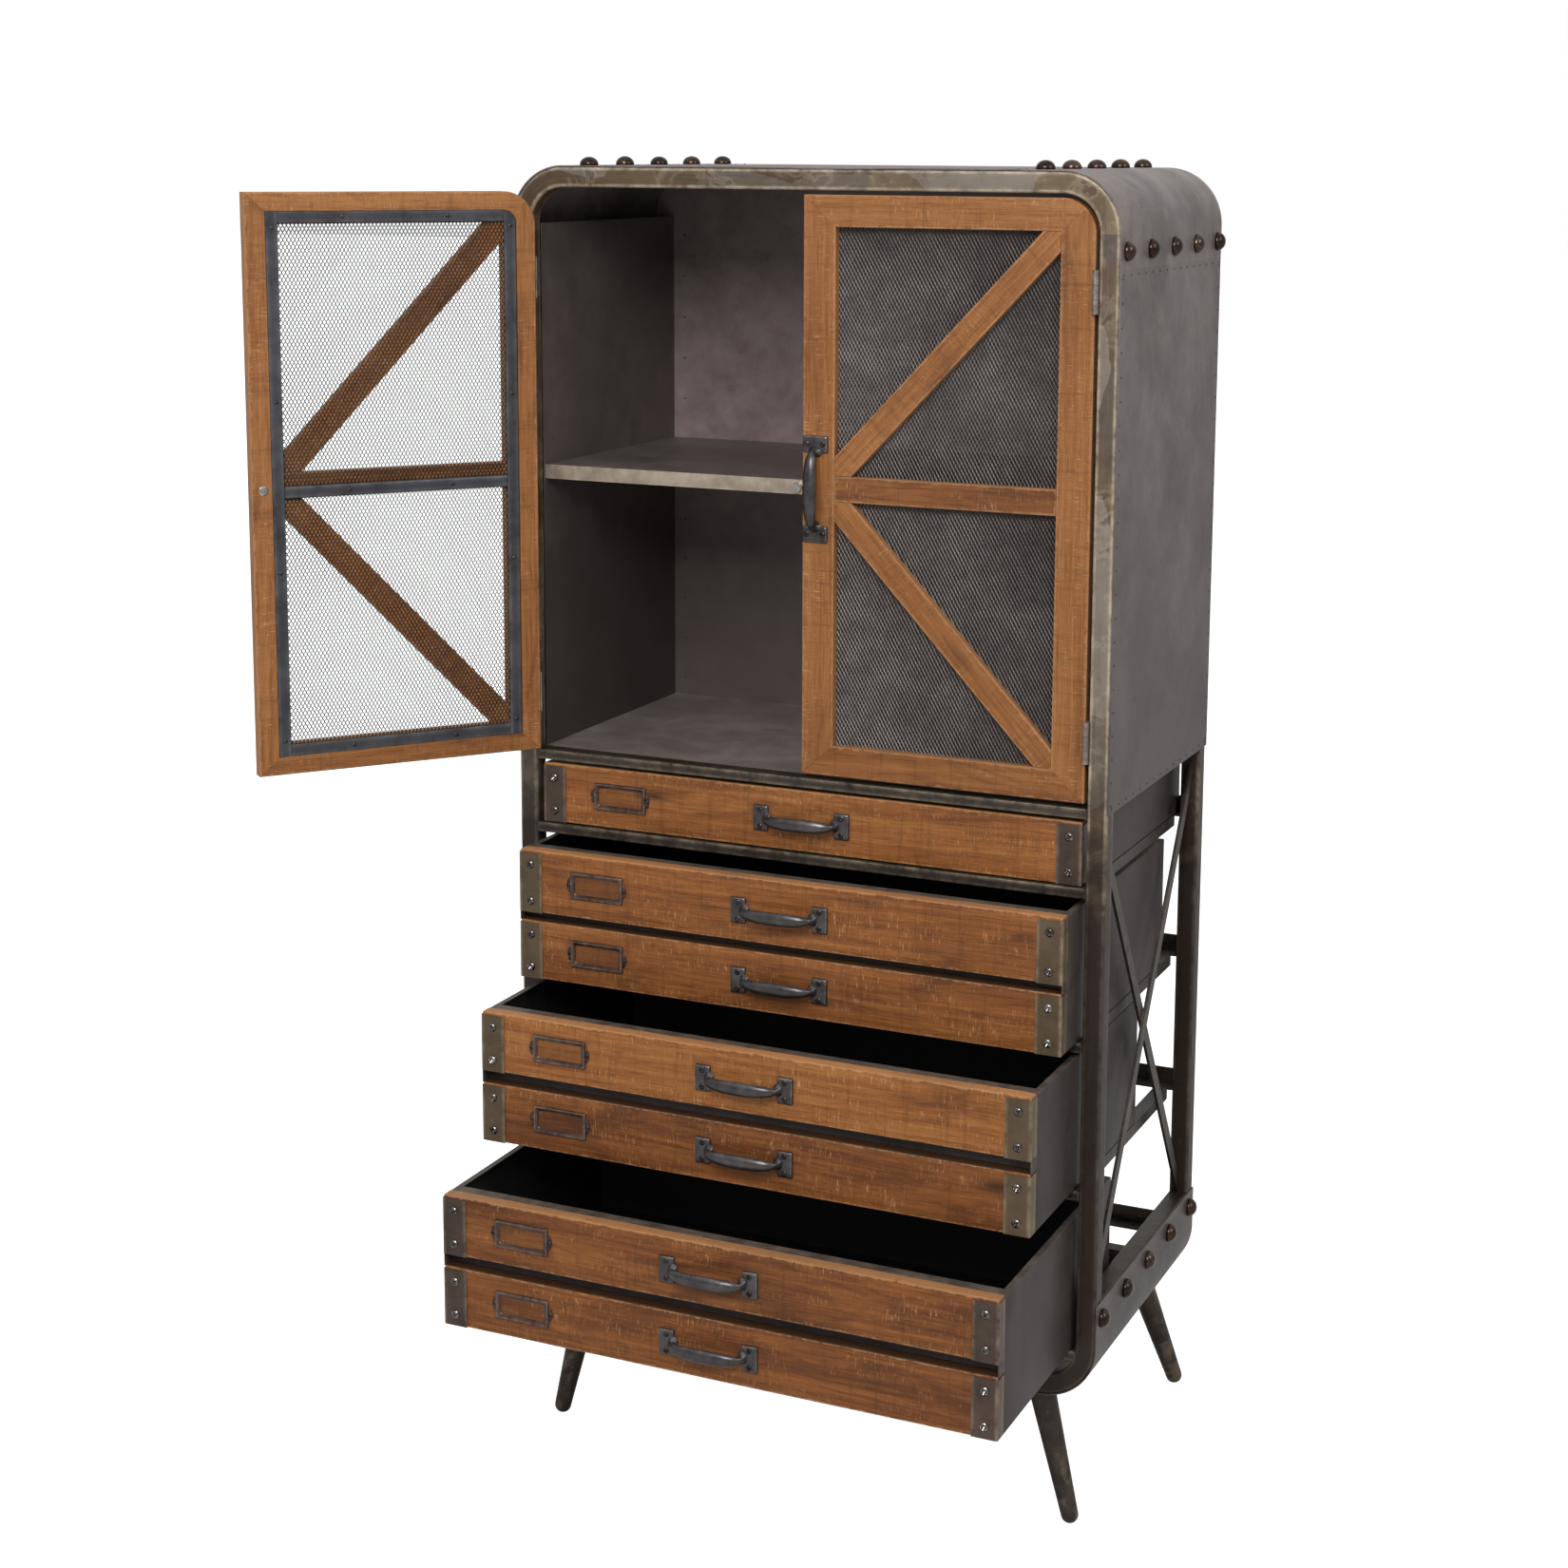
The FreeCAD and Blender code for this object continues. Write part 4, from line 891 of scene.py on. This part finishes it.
def shrink_outline(outline, by):
    """Move each edge of a convex anticlockwise outline inwards."""
    out = []
    for k, point in enumerate(outline):
        before, after = outline[k - 1], outline[(k + 1) % len(outline)]
        point = Vector(point)
        d1, d2 = (point - Vector(before)).normalized(), (Vector(after) - point).normalized()
        n1, n2 = Vector((-d1.y, d1.x)), Vector((-d2.y, d2.x))
        bisector = n1 + n2
        out.append(tuple(point + bisector / max(bisector.dot(n1), 0.2) * by))
    return out


def board(mesh, outline, y0, y1, along, seed, tone=0.0, bevel=0.6 * MM):
    """A board from an anticlockwise (x, z) outline, with its grain along a direction."""
    small = shrink_outline(outline, bevel)
    rings = [(small, y0), (outline, y0 + bevel), (outline, y1 - bevel), (small, y1)]
    verts = [Vector((x, y, z)) for ring, y in rings for x, z in ring]
    faces = [tuple(reversed(f)) for f in skin_faces(len(rings), len(outline))]
    add_timber(mesh, verts, faces, y0, along, seed, tone)


# ---- Doors, built shut on the right ----
DOOR_LO, DOOR_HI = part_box("right_door_frame")
OPEN_X0, OPEN_X1 = DOOR_LO.x + STILE, DOOR_HI.x - STILE
OPEN_Z0, OPEN_Z1 = DOOR_LO.z + RAIL, DOOR_HI.z - RAIL


def door_place(side):
    """From the shut right-hand door to where the frame holds this one: the left-hand door is
    its mirror image, swung open."""
    if side == "right":
        return Matrix.Identity(4)
    joints = frame["record"]["behaviour"]["joints"]
    joint = next(j for j in joints if j["name"] == "left_door_hinge")
    pivot = Matrix.Translation(joint["pos_m"])
    turn = Matrix.Rotation(-math.radians(joint["range_deg"][1]), 4, "Z")
    return pivot @ turn @ pivot.inverted() @ Matrix.Diagonal((-1, 1, 1, 1))


def member(mesh, pairs, along, seed, tone):
    """A frame member through (outer point, inner point) stations, with a rebated back."""
    y0, y1 = DOOR_LO.y, DOOR_HI.y
    b = WOOD_BEVEL
    side, cut, back = b / STILE, 1 - REBATE_W / STILE, y1 - REBATE_D
    section = [(side, y0), (1 - 0.6 * side, y0), (1, y0 + 0.6 * b), (1, back), (cut, back),
               (cut, y1), (side, y1), (0, y1 - b), (0, y0 + b)]
    verts = []
    for outer, inner in pairs:
        for across, y in section:
            p = Vector(outer).lerp(Vector(inner), across)
            verts.append(Vector((p.x, y, p.y)))
    add_timber(mesh, verts, skin_faces(len(pairs), len(section)), y0, along, seed, tone)


def between(outer_ends, inner_ends, places):
    """Stations at places from 0 to 1 between the ends of a straight member."""
    (a, b), (c, d) = ([Vector(end) for end in ends] for ends in (outer_ends, inner_ends))
    return [(a.lerp(b, t), c.lerp(d, t)) for t in places]


def door_members(mesh, seed):
    """Four mitred members. The outer top corner on the hinge side is rounded."""
    gap = MITRE_GAP
    x0, x1, z0, z1 = DOOR_LO.x, DOOR_HI.x, DOOR_LO.z, DOOR_HI.z
    r = CORNER_R - TUBE - DOOR_GAP
    cx, cz = x1 - r, z1 - r
    down = [((cx + r * math.cos(a), cz + r * math.sin(a) - gap),
             (OPEN_X1, min(OPEN_Z1, cz + r * math.sin(a)) - gap)) for a in angles(0, 45, 8)]
    down[-1] = (down[-1][0], (OPEN_X1, OPEN_Z1 - gap))
    over = [((cx + r * math.cos(a) - gap, cz + r * math.sin(a)),
             (min(OPEN_X1, cx + r * math.cos(a)) - gap, OPEN_Z1)) for a in angles(45, 90, 8)]
    over[0] = (over[0][0], (OPEN_X1 - gap, OPEN_Z1))

    right = between([(x1, z0 + gap), (x1, cz + gap)],
                    [(OPEN_X1, OPEN_Z0 + gap), (OPEN_X1, cz + gap)], (0, 0.33, 0.66))
    left = between([(x0, z1 - gap), (x0, z0 + gap)],
                   [(OPEN_X0, OPEN_Z1 - gap), (OPEN_X0, OPEN_Z0 + gap)], (0, 0.25, 0.5, 0.75, 1))
    bottom = between([(x0 + gap, z0), (x1 - gap, z0)],
                     [(OPEN_X0 + gap, OPEN_Z0), (OPEN_X1 - gap, OPEN_Z0)], (0, 0.33, 0.66, 1))
    top = between([(cx, z1), (x0 + gap, z1)], [(cx, OPEN_Z1), (OPEN_X0 + gap, OPEN_Z1)],
                  (0.33, 0.66, 1))
    member(mesh, right + down, (0, 1), seed + 0.1, 0.15)
    member(mesh, left, (0, 1), seed + 0.37, 0.2)
    member(mesh, bottom, (1, 0), seed + 0.61, 0.45)
    member(mesh, over + top, (1, 0), seed + 0.83, 0.0)


def door_braces(mesh, seed):
    """A middle rail, and a diagonal above and below it."""
    gap = MITRE_GAP
    y0, y1 = DOOR_LO.y + 0.25 * MM, DOOR_HI.y - REBATE_D - 0.1 * MM
    x0, x1 = OPEN_X0 + gap, OPEN_X1 - gap
    low, high = MID_Z - MID_RAIL / 2, MID_Z + MID_RAIL / 2
    rail = [(x0, low + gap), (x1, low + gap), (x1, high - gap), (x0, high - gap)]
    board(mesh, rail, y0, y1, (1, 0), seed + 0.21, 0.65)
    for start_z, end_z, shift, tone in ((high, OPEN_Z1, 0.47, 0.1), (low, OPEN_Z0, 0.71, 0.2)):
        start, end = Vector((OPEN_X0, start_z)), Vector((OPEN_X1, end_z))
        along = (end - start).normalized()
        side = Vector((-along.y, along.x)) * BRACE_BAND / 2
        start, end = start - along * BRACE_BAND, end + along * BRACE_BAND
        outline = [tuple(start - side), tuple(end - side), tuple(end + side), tuple(start + side)]
        z0, z1 = sorted((start_z, end_z))
        for limit in ((0, x0, 1), (0, x1, -1), (1, z0 + gap, 1), (1, z1 - gap, -1)):
            outline = clip(outline, *limit)
        board(mesh, outline, y0, y1, along, seed + shift, tone)


def expanded_mesh(twist):
    """Expanded steel: diamond holes between strands that are twisted out of the sheet.
    The list holds, face by face, 0 for a strand that leans one way and 1 for the other;
    on the right door the first get painted light and the second painted shade."""
    lo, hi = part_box("right_door_mesh")
    cols = int((hi.x - lo.x) / CELL_W)
    rows = int((hi.z - lo.z) / (CELL_H / 2))
    w, h = (hi.x - lo.x) / cols, (hi.z - lo.z) / rows
    y_mid = (lo.y + hi.y) / 2
    half_t = 0.26 * MM
    hole = 1 - STRAND / (CELL_W * 0.87)
    corners = ((-0.5 * w, 0, 1), (0, -h, 0), (0.5 * w, 0, -1), (0, h, 0))
    verts, faces, shades = [], [], []
    for j in range(rows - 1):
        odd = j % 2
        for i in range(cols - odd):
            cx, cz = lo.x + (i + 0.5 + 0.5 * odd) * w, lo.z + (j + 1) * h
            base = len(verts)
            for y in (y_mid - half_t, y_mid + half_t):
                verts += [(cx + dx, y, cz + dz) for dx, dz, _ in corners]
                verts += [(cx + dx * hole, y + twist * lean, cz + dz * hole)
                          for dx, dz, lean in corners]
            for k in range(4):
                front, back = base + k, base + 8 + k
                step = 1 if k < 3 else -3
                faces += [(front, front + step, front + 4 + step, front + 4),
                          (back + step, back, back + 4, back + 4 + step),
                          (front + 4, front + 4 + step, back + 4 + step, back + 4)]
                shades += [k % 2] * 3
    net = Mesh()
    net.add(verts, faces)
    return net, shades


def retainer(mesh):
    """Flat steel strips screwed over the mesh's edge, with a strap across the middle."""
    lo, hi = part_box("right_door_mesh_retainer")
    w = RETAINER_W
    for x in (lo.x, hi.x - w):
        bar(mesh, (x, lo.y, lo.z), (x + w, hi.y, hi.z), "z", RETAINER_BEVEL, steps=8)
    for z, proud, bevel in ((lo.z, 0, RETAINER_BEVEL), (hi.z - w, 0, RETAINER_BEVEL),
                            (STRAP_Z - w / 2, 1.6 * MM, 2.0 * MM)):
        bar(mesh, (lo.x + w, lo.y, z), (hi.x - w, hi.y + proud, z + w), "x", bevel, steps=6)


def retainer_nails(mesh):
    lo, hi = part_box("right_door_mesh_retainer")
    w = RETAINER_W / 2
    y = hi.y - 0.1 * MM
    spots = [(x, y, lo.z + w + (hi.z - lo.z - 2 * w) * t)
             for x in (lo.x + w, hi.x - w) for t in (0.02, 0.34, 0.66, 0.98)]
    for z, z_y in ((lo.z + w, y), (hi.z - w, y), (STRAP_Z, hi.y + 1.5 * MM)):
        spots += [(lo.x + (hi.x - lo.x) * t, z_y, z) for t in (0.3, 0.72)]
    for spot in spots:
        lathe(mesh, spot, TO_BACK, dome_profile(2.4 * MM, 1.1 * MM, 4), 16)


def strike(mesh):
    """A stepped disc for the magnet to hold."""
    lo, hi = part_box("right_door_strike")
    mid, r = (lo + hi) / 2, (hi.x - lo.x) / 2
    profile = [(r, -0.3 * MM), (r, 0.7 * MM), (r * 0.86, 1.2 * MM), (r * 0.6, 1.1 * MM),
               (r * 0.5, 0.2 * MM), (r * 0.05, 0.1 * MM)]
    lathe(mesh, (mid.x, lo.y, mid.z), TO_BACK, profile)


def doors():
    for side, seed in (("left", 2.3), ("right", 5.9)):
        place = door_place(side)
        body = side + "_door"
        grip_at = (DOOR_LO.x + PLATE_H / 2 + 1.0 * MM, DOOR_LO.y, MID_Z - 1.0 * MM)
        upright = place @ Matrix.Translation(grip_at) @ Matrix.Rotation(math.radians(90), 4, "Y")

        def piece(name, node, material, slot, smooth_deg, where, build, *args):
            mesh = Mesh()
            build(mesh, *args)
            mesh.transform(where)
            mesh.to_object(body + name, material, slot, body, [body + node] if node else [],
                           smooth_deg)

        piece("_frame_looks", "_frame", "wood_door", "door_wood", 40, place, door_members, seed)
        piece("_braces_looks", "_braces", "wood_door", "door_wood", 40, place, door_braces,
              seed + 1)

        right = side == "right"
        net, shades = expanded_mesh(STRAND_TWIST if right else -STRAND_TWIST)
        net.transform(place)
        net = net.to_object(body + "_mesh_looks", "mesh_lit" if right else "mesh", "mesh_steel",
                            body, [body + "_mesh"], 20)
        # On the right door, strands leaning one way get painted light and the others painted shade.
        if right:
            net.data.materials.append(MAT["mesh_shade"])
            net.data.polygons.foreach_set("material_index", shades)

        piece("_retainer_looks", "_mesh_retainer", "retainer", "bar_steel", 40, place, retainer)
        piece("_retainer_nails", None, "tack", "bar_steel", 60, place, retainer_nails)
        piece("_handle_looks", "_handle", "iron", "handle_iron", 50, upright, pull)
        piece("_handle_screws", None, "screw_dark", "screw_steel", 35, upright, pull_screws)
        piece("_strike_looks", "_strike", "catch", "catch_steel", 40, place, strike)


# ---- Cast pulls, label holders and corner plates ----
def pull(mesh):
    """A cast pull: two chamfered plates, and a grip that swells in the middle and flares
    where it meets them."""
    outline = rounded_rect(PLATE_W, PLATE_H, 1.2 * MM, flat_steps=1, arc_steps=2)
    rings = [(1.0, 0.0), (1.0, -1.6 * MM), (0.93, -2.7 * MM), (0.82, -3.0 * MM)]
    cols = len(outline)
    faces = ring_faces(len(rings), cols) + [tuple(range(3 * cols, 4 * cols))]
    for sx in (-1, 1):
        verts = [Vector((sx * PLATE_X + a * (1 - (1 - scale) * 1.2), y, b * scale))
                 for scale, y in rings for a, b, _ in outline]
        mesh.add(verts, faces, edge=[float(k // cols == 2) for k in range(len(verts))])
    root = PLATE_X - GRIP_ROOT_IN
    reach = HANDLE_REACH - GRIP_START - GRIP_HALF_T
    points, radii = [], []
    for s in spread(-1, 1, 40):
        a = s * math.pi / 2
        x = root * math.copysign(abs(math.sin(a)) ** 0.86, s)
        y = -GRIP_START - reach * max(math.cos(a), 0) ** 0.62
        points.append(Vector((x, y, 0)))
        middle = max(0.0, 1 - (abs(s) / 0.8) ** 2)
        flare = max(0.0, (abs(s) - 0.86) / 0.14) ** 2
        radii.append(((3.3 + 0.4 * middle + 2.2 * flare) * MM,
                      (3.5 + 3.2 * middle + 3.6 * flare) * MM))
    ways = [(after - before).normalized() for before, after in zip(points, points[2:])]
    ways = [TO_FRONT] + ways + [TO_BACK]
    stations = [(p, UP.cross(way), UP, radius) for p, way, radius in zip(points, ways, radii)]
    ring = [(math.cos(a), math.sin(a), 0.5 if abs(math.sin(a)) > 0.9 else 0.0)
            for a in around(20)]
    sweep(mesh, stations, ring)


def pull_screws(mesh):
    for sx in (-1, 1):
        for sz in (-1, 1):
            seat = (sx * PLATE_X, -2.9 * MM, sz * (PLATE_H / 2 - 4.6 * MM))
            pan_screw(mesh, seat, 2.9 * MM, 1.1 * MM)


def label_holder(mesh):
    """A pressed frame with a raised border and a crescent ear at each end."""
    # Each ring of the border: how far inside the outline, and how high, in millimetres.
    rings = [(0.0, 0.0), (0.2, -1.4), (0.9, -2.2), (2.0, -2.2), (2.7, -1.5), (4.4, -1.3),
             (5.0, -0.2)]
    verts, edge = [], []
    for inset, y in rings:
        outline = rounded_rect(LABEL_W - 2 * inset * MM, LABEL_H - 2 * inset * MM,
                               (1.2 + inset * 0.25) * MM, flat_steps=3, arc_steps=3)
        verts += [Vector((a, y * MM, b)) for a, b, _ in outline]
        edge += [1.0 if y < -2 else 0.2] * len(outline)
    mesh.add(verts, ring_faces(len(rings), len(outline)), edge=edge)
    for sx in (-1, 1):
        ear = [(sx * (LABEL_W / 2 + 4.6 * MM * math.cos(a) - 0.4 * MM), 7.5 * MM * math.sin(a))
               for a in angles(-90, 90, 12)]
        board(mesh, ear[::sx], -1.2 * MM, 0, (1, 0), 0.0, bevel=0.35 * MM)


def corner_plate(mesh, low, high):
    """An angle plate over the right-hand end of a slat, its outer corner slightly rounded."""
    r, w, t = 1.6 * MM, CORNER_W, CORNER_T
    arc = [(r * math.sin(a) - r, r - r * math.cos(a), 1.0) for a in angles(0, 90, 5)]
    section = [(0.3 * MM - w, 0.0, 1.0), (4 * MM - w, 0.0, 0.0), (-4 * MM, 0.0, 0.0)] + arc
    section += [(0.0, 4 * MM, 0.0), (0.0, CORNER_RETURN, 1.0), (-t, CORNER_RETURN, 0.0),
                (-t, t, 0.0), (-w, t, 0.0), (-w, 0.3 * MM, 1.0)]
    stations = [(UP * z, Vector((1, 0, 0)), TO_BACK) for z in spread(low, high, 6)]
    sweep(mesh, stations, section)


# ---- Drawers ----
def drawer_tub(name, face, gap):
    """The steel box: outside, folded rim and black inside, as rings of one skin. The black
    inside is black paint with painted shade on it.
    """
    lo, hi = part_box(name + "_box")
    rim = (RIM, FRONT_RIM, RIM)
    hem = tuple(inset + 0.2 * MM for inset in rim)
    # Each ring: its insets at the sides, the front and the back, and its height.
    rings = [((0, 0, 0), lo.z), ((0, 0, 0), hi.z - 0.8 * MM), ((0.3 * MM,) * 3, hi.z - 0.1 * MM),
             ((0.8 * MM,) * 3, hi.z), (rim, hi.z), (hem, hi.z - 0.4 * MM), (rim, hi.z - TUB_T),
             ((TUB_T,) * 3, hi.z - TUB_T - 0.1 * MM), ((TUB_T,) * 3, lo.z + TUB_T)]
    verts, edge = [], []
    for k, ((side, front, back), z) in enumerate(rings):
        y0, y1 = lo.y + front, hi.y - back
        outline = rounded_rect(2 * (hi.x - side), y1 - y0, max(1.2 * MM - side * 0.1, 0.4 * MM),
                               flat_steps=8, arc_steps=2)
        verts += [Vector((a, (y0 + y1) / 2 + b, z)) for a, b, _ in outline]
        edge += [0.9 if 2 <= k <= 4 else 0.0] * len(outline)
    cols = len(outline)
    faces = skin_faces(len(rings), cols)
    mesh = Mesh()
    mesh.add(verts, faces, edge=edge)
    if gap:
        for sx in (-1, 1):
            x0, x1 = sorted((sx * hi.x, sx * (hi.x - 1.2 * MM)))
            bar(mesh, (x0, face, gap[0] - MM), (x1, lo.y + MM, gap[1] + MM), "z", 0.3 * MM)
    obj = mesh.to_object(name + "_box_looks", "box", "inner_steel", name, [name + "_box"])
    obj.data.materials.append(MAT["black"])
    bottom, floor = len(faces) - 2, len(faces) - 1
    for k in [*range(4 * cols, bottom), floor]:
        obj.data.polygons[k].material_index = 1


def drawers():
    for i in range(1, 5):
        name = "drawer_%d" % i
        lo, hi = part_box(name + "_fronts")
        plates_lo, plates_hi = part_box(name + "_corner_plates")
        face, half = plates_lo.y, plates_hi.x
        slats = [(lo.z, hi.z)]
        if i > 1:
            split = lo.z + LOWER_SLAT
            slats = [(lo.z, split), (split + SLAT_GAPS[i - 1], hi.z)]
        wood, plates, grips, labels, screws, pins = (Mesh() for _ in range(6))
        for k, (low, high) in enumerate(slats):
            plank_along_x(wood, Vector((lo.x, lo.y, low)), Vector((hi.x, hi.y, high)),
                          i * 1.7 + k * 0.9, SLAT_STAIN[i - 1][k], k == 1, k + 1 < len(slats))
            mid, top = (low + high) / 2, high - PLATE_DROP
            for sx in (-1, 1):
                place = Matrix.Translation((half * sx, face, 0)) @ Matrix.Diagonal((sx, 1, 1, 1))
                plates.stamp(place, corner_plate, low, top)
                for z in (low + SCREW_INSET, top - SCREW_INSET):
                    pan_screw(screws, (sx * (half - CORNER_W / 2), face, z), 4.3 * MM, 2.4 * MM)
            place = Matrix.Translation((0, lo.y, mid - 1 * MM))
            grips.stamp(place, pull)
            pins.stamp(place, pull_screws)
            label_z = mid + 1 * MM
            labels.stamp(Matrix.Translation((LABEL_X, lo.y, label_z)), label_holder)
            for sx in (-1, 1):
                x = LABEL_X + sx * (LABEL_W / 2 + 1.6 * MM)
                pan_screw(pins, (x, lo.y - 1.0 * MM, label_z), 2.0 * MM, 1.0 * MM)
        finish = "plate_dark" if i in (1, 4) else "plate"
        for mesh, part, node, material, slot, smooth_deg in (
                (wood, "_fronts_looks", "_fronts", "wood_drawer", "drawer_wood", 40),
                (plates, "_plates_looks", "_corner_plates", finish, "plate_steel", 40),
                (grips, "_handles_looks", "_handles", "iron", "handle_iron", 50),
                (labels, "_labels_looks", "_label_holders", "label", "label_copper", 50),
                (screws, "_screws_looks", "_screws", "screw", "screw_steel", 35)):
            mesh.to_object(name + part, material, slot, name, [name + node], smooth_deg)
        pins.to_object(name + "_pins", "screw_dark", "screw_steel", name, [], 35)
        drawer_tub(name, face + 1.5 * MM, (slats[0][1], slats[1][0]) if i > 1 else None)


# ---- CAD pieces that keep their shape ----
CARRIED_OVER = {
    "top_panel": "skin", "left_side_panel": "skin", "right_side_panel": "skin",
    "back_panel": "back", "inner_side_walls": "inner", "compartment_floor": "floor_sheet",
    "back_crossbars": "bar", "drawer_runners": "bar", "side_rails": "bar",
    "cross_braces": "bar", "legs": "leg", "hinge_frame_leaves": "hinge",
    "left_door_hinge_leaves": "hinge", "right_door_hinge_leaves": "hinge",
    "magnetic_catches": "catch"}


def carried_over():
    for node, material in CARRIED_OVER.items():
        materials = frame["nodes"][node].data.materials
        materials.clear()
        materials.append(MAT[material])


tube_frames()
rivets()
corner_wraps()
tacks()
crossbars()
leg_welds()
shelf()
doors()
drawers()
carried_over()


# ---- Floor, lights and camera ----
FLOOR_HALF = 30
SKY_LOW, SKY_HIGH = 0.42, 1.05
SKY_HEIGHT = 0.8


def pale_floor():
    """A white floor. It glows for the camera only, so that it casts no light on the sides."""
    n = Nodes("floor_pale")
    speck = n.noise(n.object_coords(), 3.0, 3, 0.5)
    n.finish(n.ramp(speck, (0.3, 0.56), (0.7, 0.58)), 0.75, specular=0.2)
    n.shader.inputs["Emission Color"].default_value = (1, 1, 1, 1)
    seen = n.new("ShaderNodeLightPath", out="Is Camera Ray")
    n.link(n.mul(seen, 0.85), n.shader.inputs["Emission Strength"])
    data = bpy.data.meshes.new("floor")
    corners = [(-1, -1), (1, -1), (1, 1), (-1, 1)]
    data.from_pydata([(x * FLOOR_HALF, y * FLOOR_HALF, 0) for x, y in corners], [], [(0, 1, 2, 3)])
    data.materials.append(n.material)
    floor = bpy.data.objects.new("floor", data)
    bpy.context.scene.collection.objects.link(floor)


def surroundings():
    """White all round: plain for the camera, and brighter overhead for the light it gives."""
    world = bpy.data.worlds.new("studio")
    world.use_nodes = True
    tree = world.node_tree
    where, split, rise, seen, blend = (
        tree.nodes.new("ShaderNode" + kind)
        for kind in ("TexCoord", "SeparateXYZ", "MapRange", "LightPath", "Mix"))
    background = tree.nodes["Background"]
    tree.links.new(where.outputs["Generated"], split.inputs[0])
    tree.links.new(split.outputs[2], rise.inputs["Value"])
    for socket, value in (("From Min", 0.0), ("From Max", SKY_HEIGHT), ("To Min", SKY_LOW),
                          ("To Max", SKY_HIGH)):
        rise.inputs[socket].default_value = value
    tree.links.new(seen.outputs["Is Camera Ray"], blend.inputs[0])
    tree.links.new(rise.outputs[0], blend.inputs[2])
    blend.inputs[3].default_value = 1.0
    tree.links.new(blend.outputs[0], background.inputs[1])
    background.inputs[0].default_value = (1, 1, 1, 1)
    bpy.context.scene.world = world
    bpy.context.scene.view_settings.view_transform = "Standard"


def area_light(name, place, target, size, watts):
    light = bpy.data.lights.new(name, "AREA")
    light.shape = "RECTANGLE"
    light.size = light.size_y = size
    light.energy = watts
    obj = bpy.data.objects.new(name, light)
    obj.location = place
    obj.rotation_euler = (Vector(target) - Vector(place)).to_track_quat("-Z", "Y").to_euler()
    bpy.context.scene.collection.objects.link(obj)


def camera():
    """The viewpoint: well to the right of the front, a little above the middle."""
    data = bpy.data.cameras.new("camera")
    data.sensor_width = 36
    data.lens = 60.83
    data.shift_x = -0.0198
    data.shift_y = -0.1322
    obj = bpy.data.objects.new("camera", data)
    yaw, pitch, roll = 0.4206, 0.1617, 0.0052
    forward = Vector((-math.sin(yaw) * math.cos(pitch), math.cos(yaw) * math.cos(pitch),
                      -math.sin(pitch)))
    right = Vector((math.cos(yaw), math.sin(yaw), 0))
    up = right.cross(forward)
    turned_right = right * math.cos(roll) + up * math.sin(roll)
    turned_up = up * math.cos(roll) - right * math.sin(roll)
    rotation = Matrix((turned_right, turned_up, -forward)).transposed()
    obj.matrix_world = Matrix.Translation((1.0446, -2.4649, 1.3225)) @ rotation.to_4x4()
    bpy.context.scene.collection.objects.link(obj)
    bpy.context.scene.camera = obj


pale_floor()
surroundings()
area_light("key", (0.5, -2.7, 2.5), (0, 0, 0.95), 1.1, 80)
area_light("side", (2.6, -0.5, 2.4), (0.3, 0, 1.0), 1.0, 22)
camera()
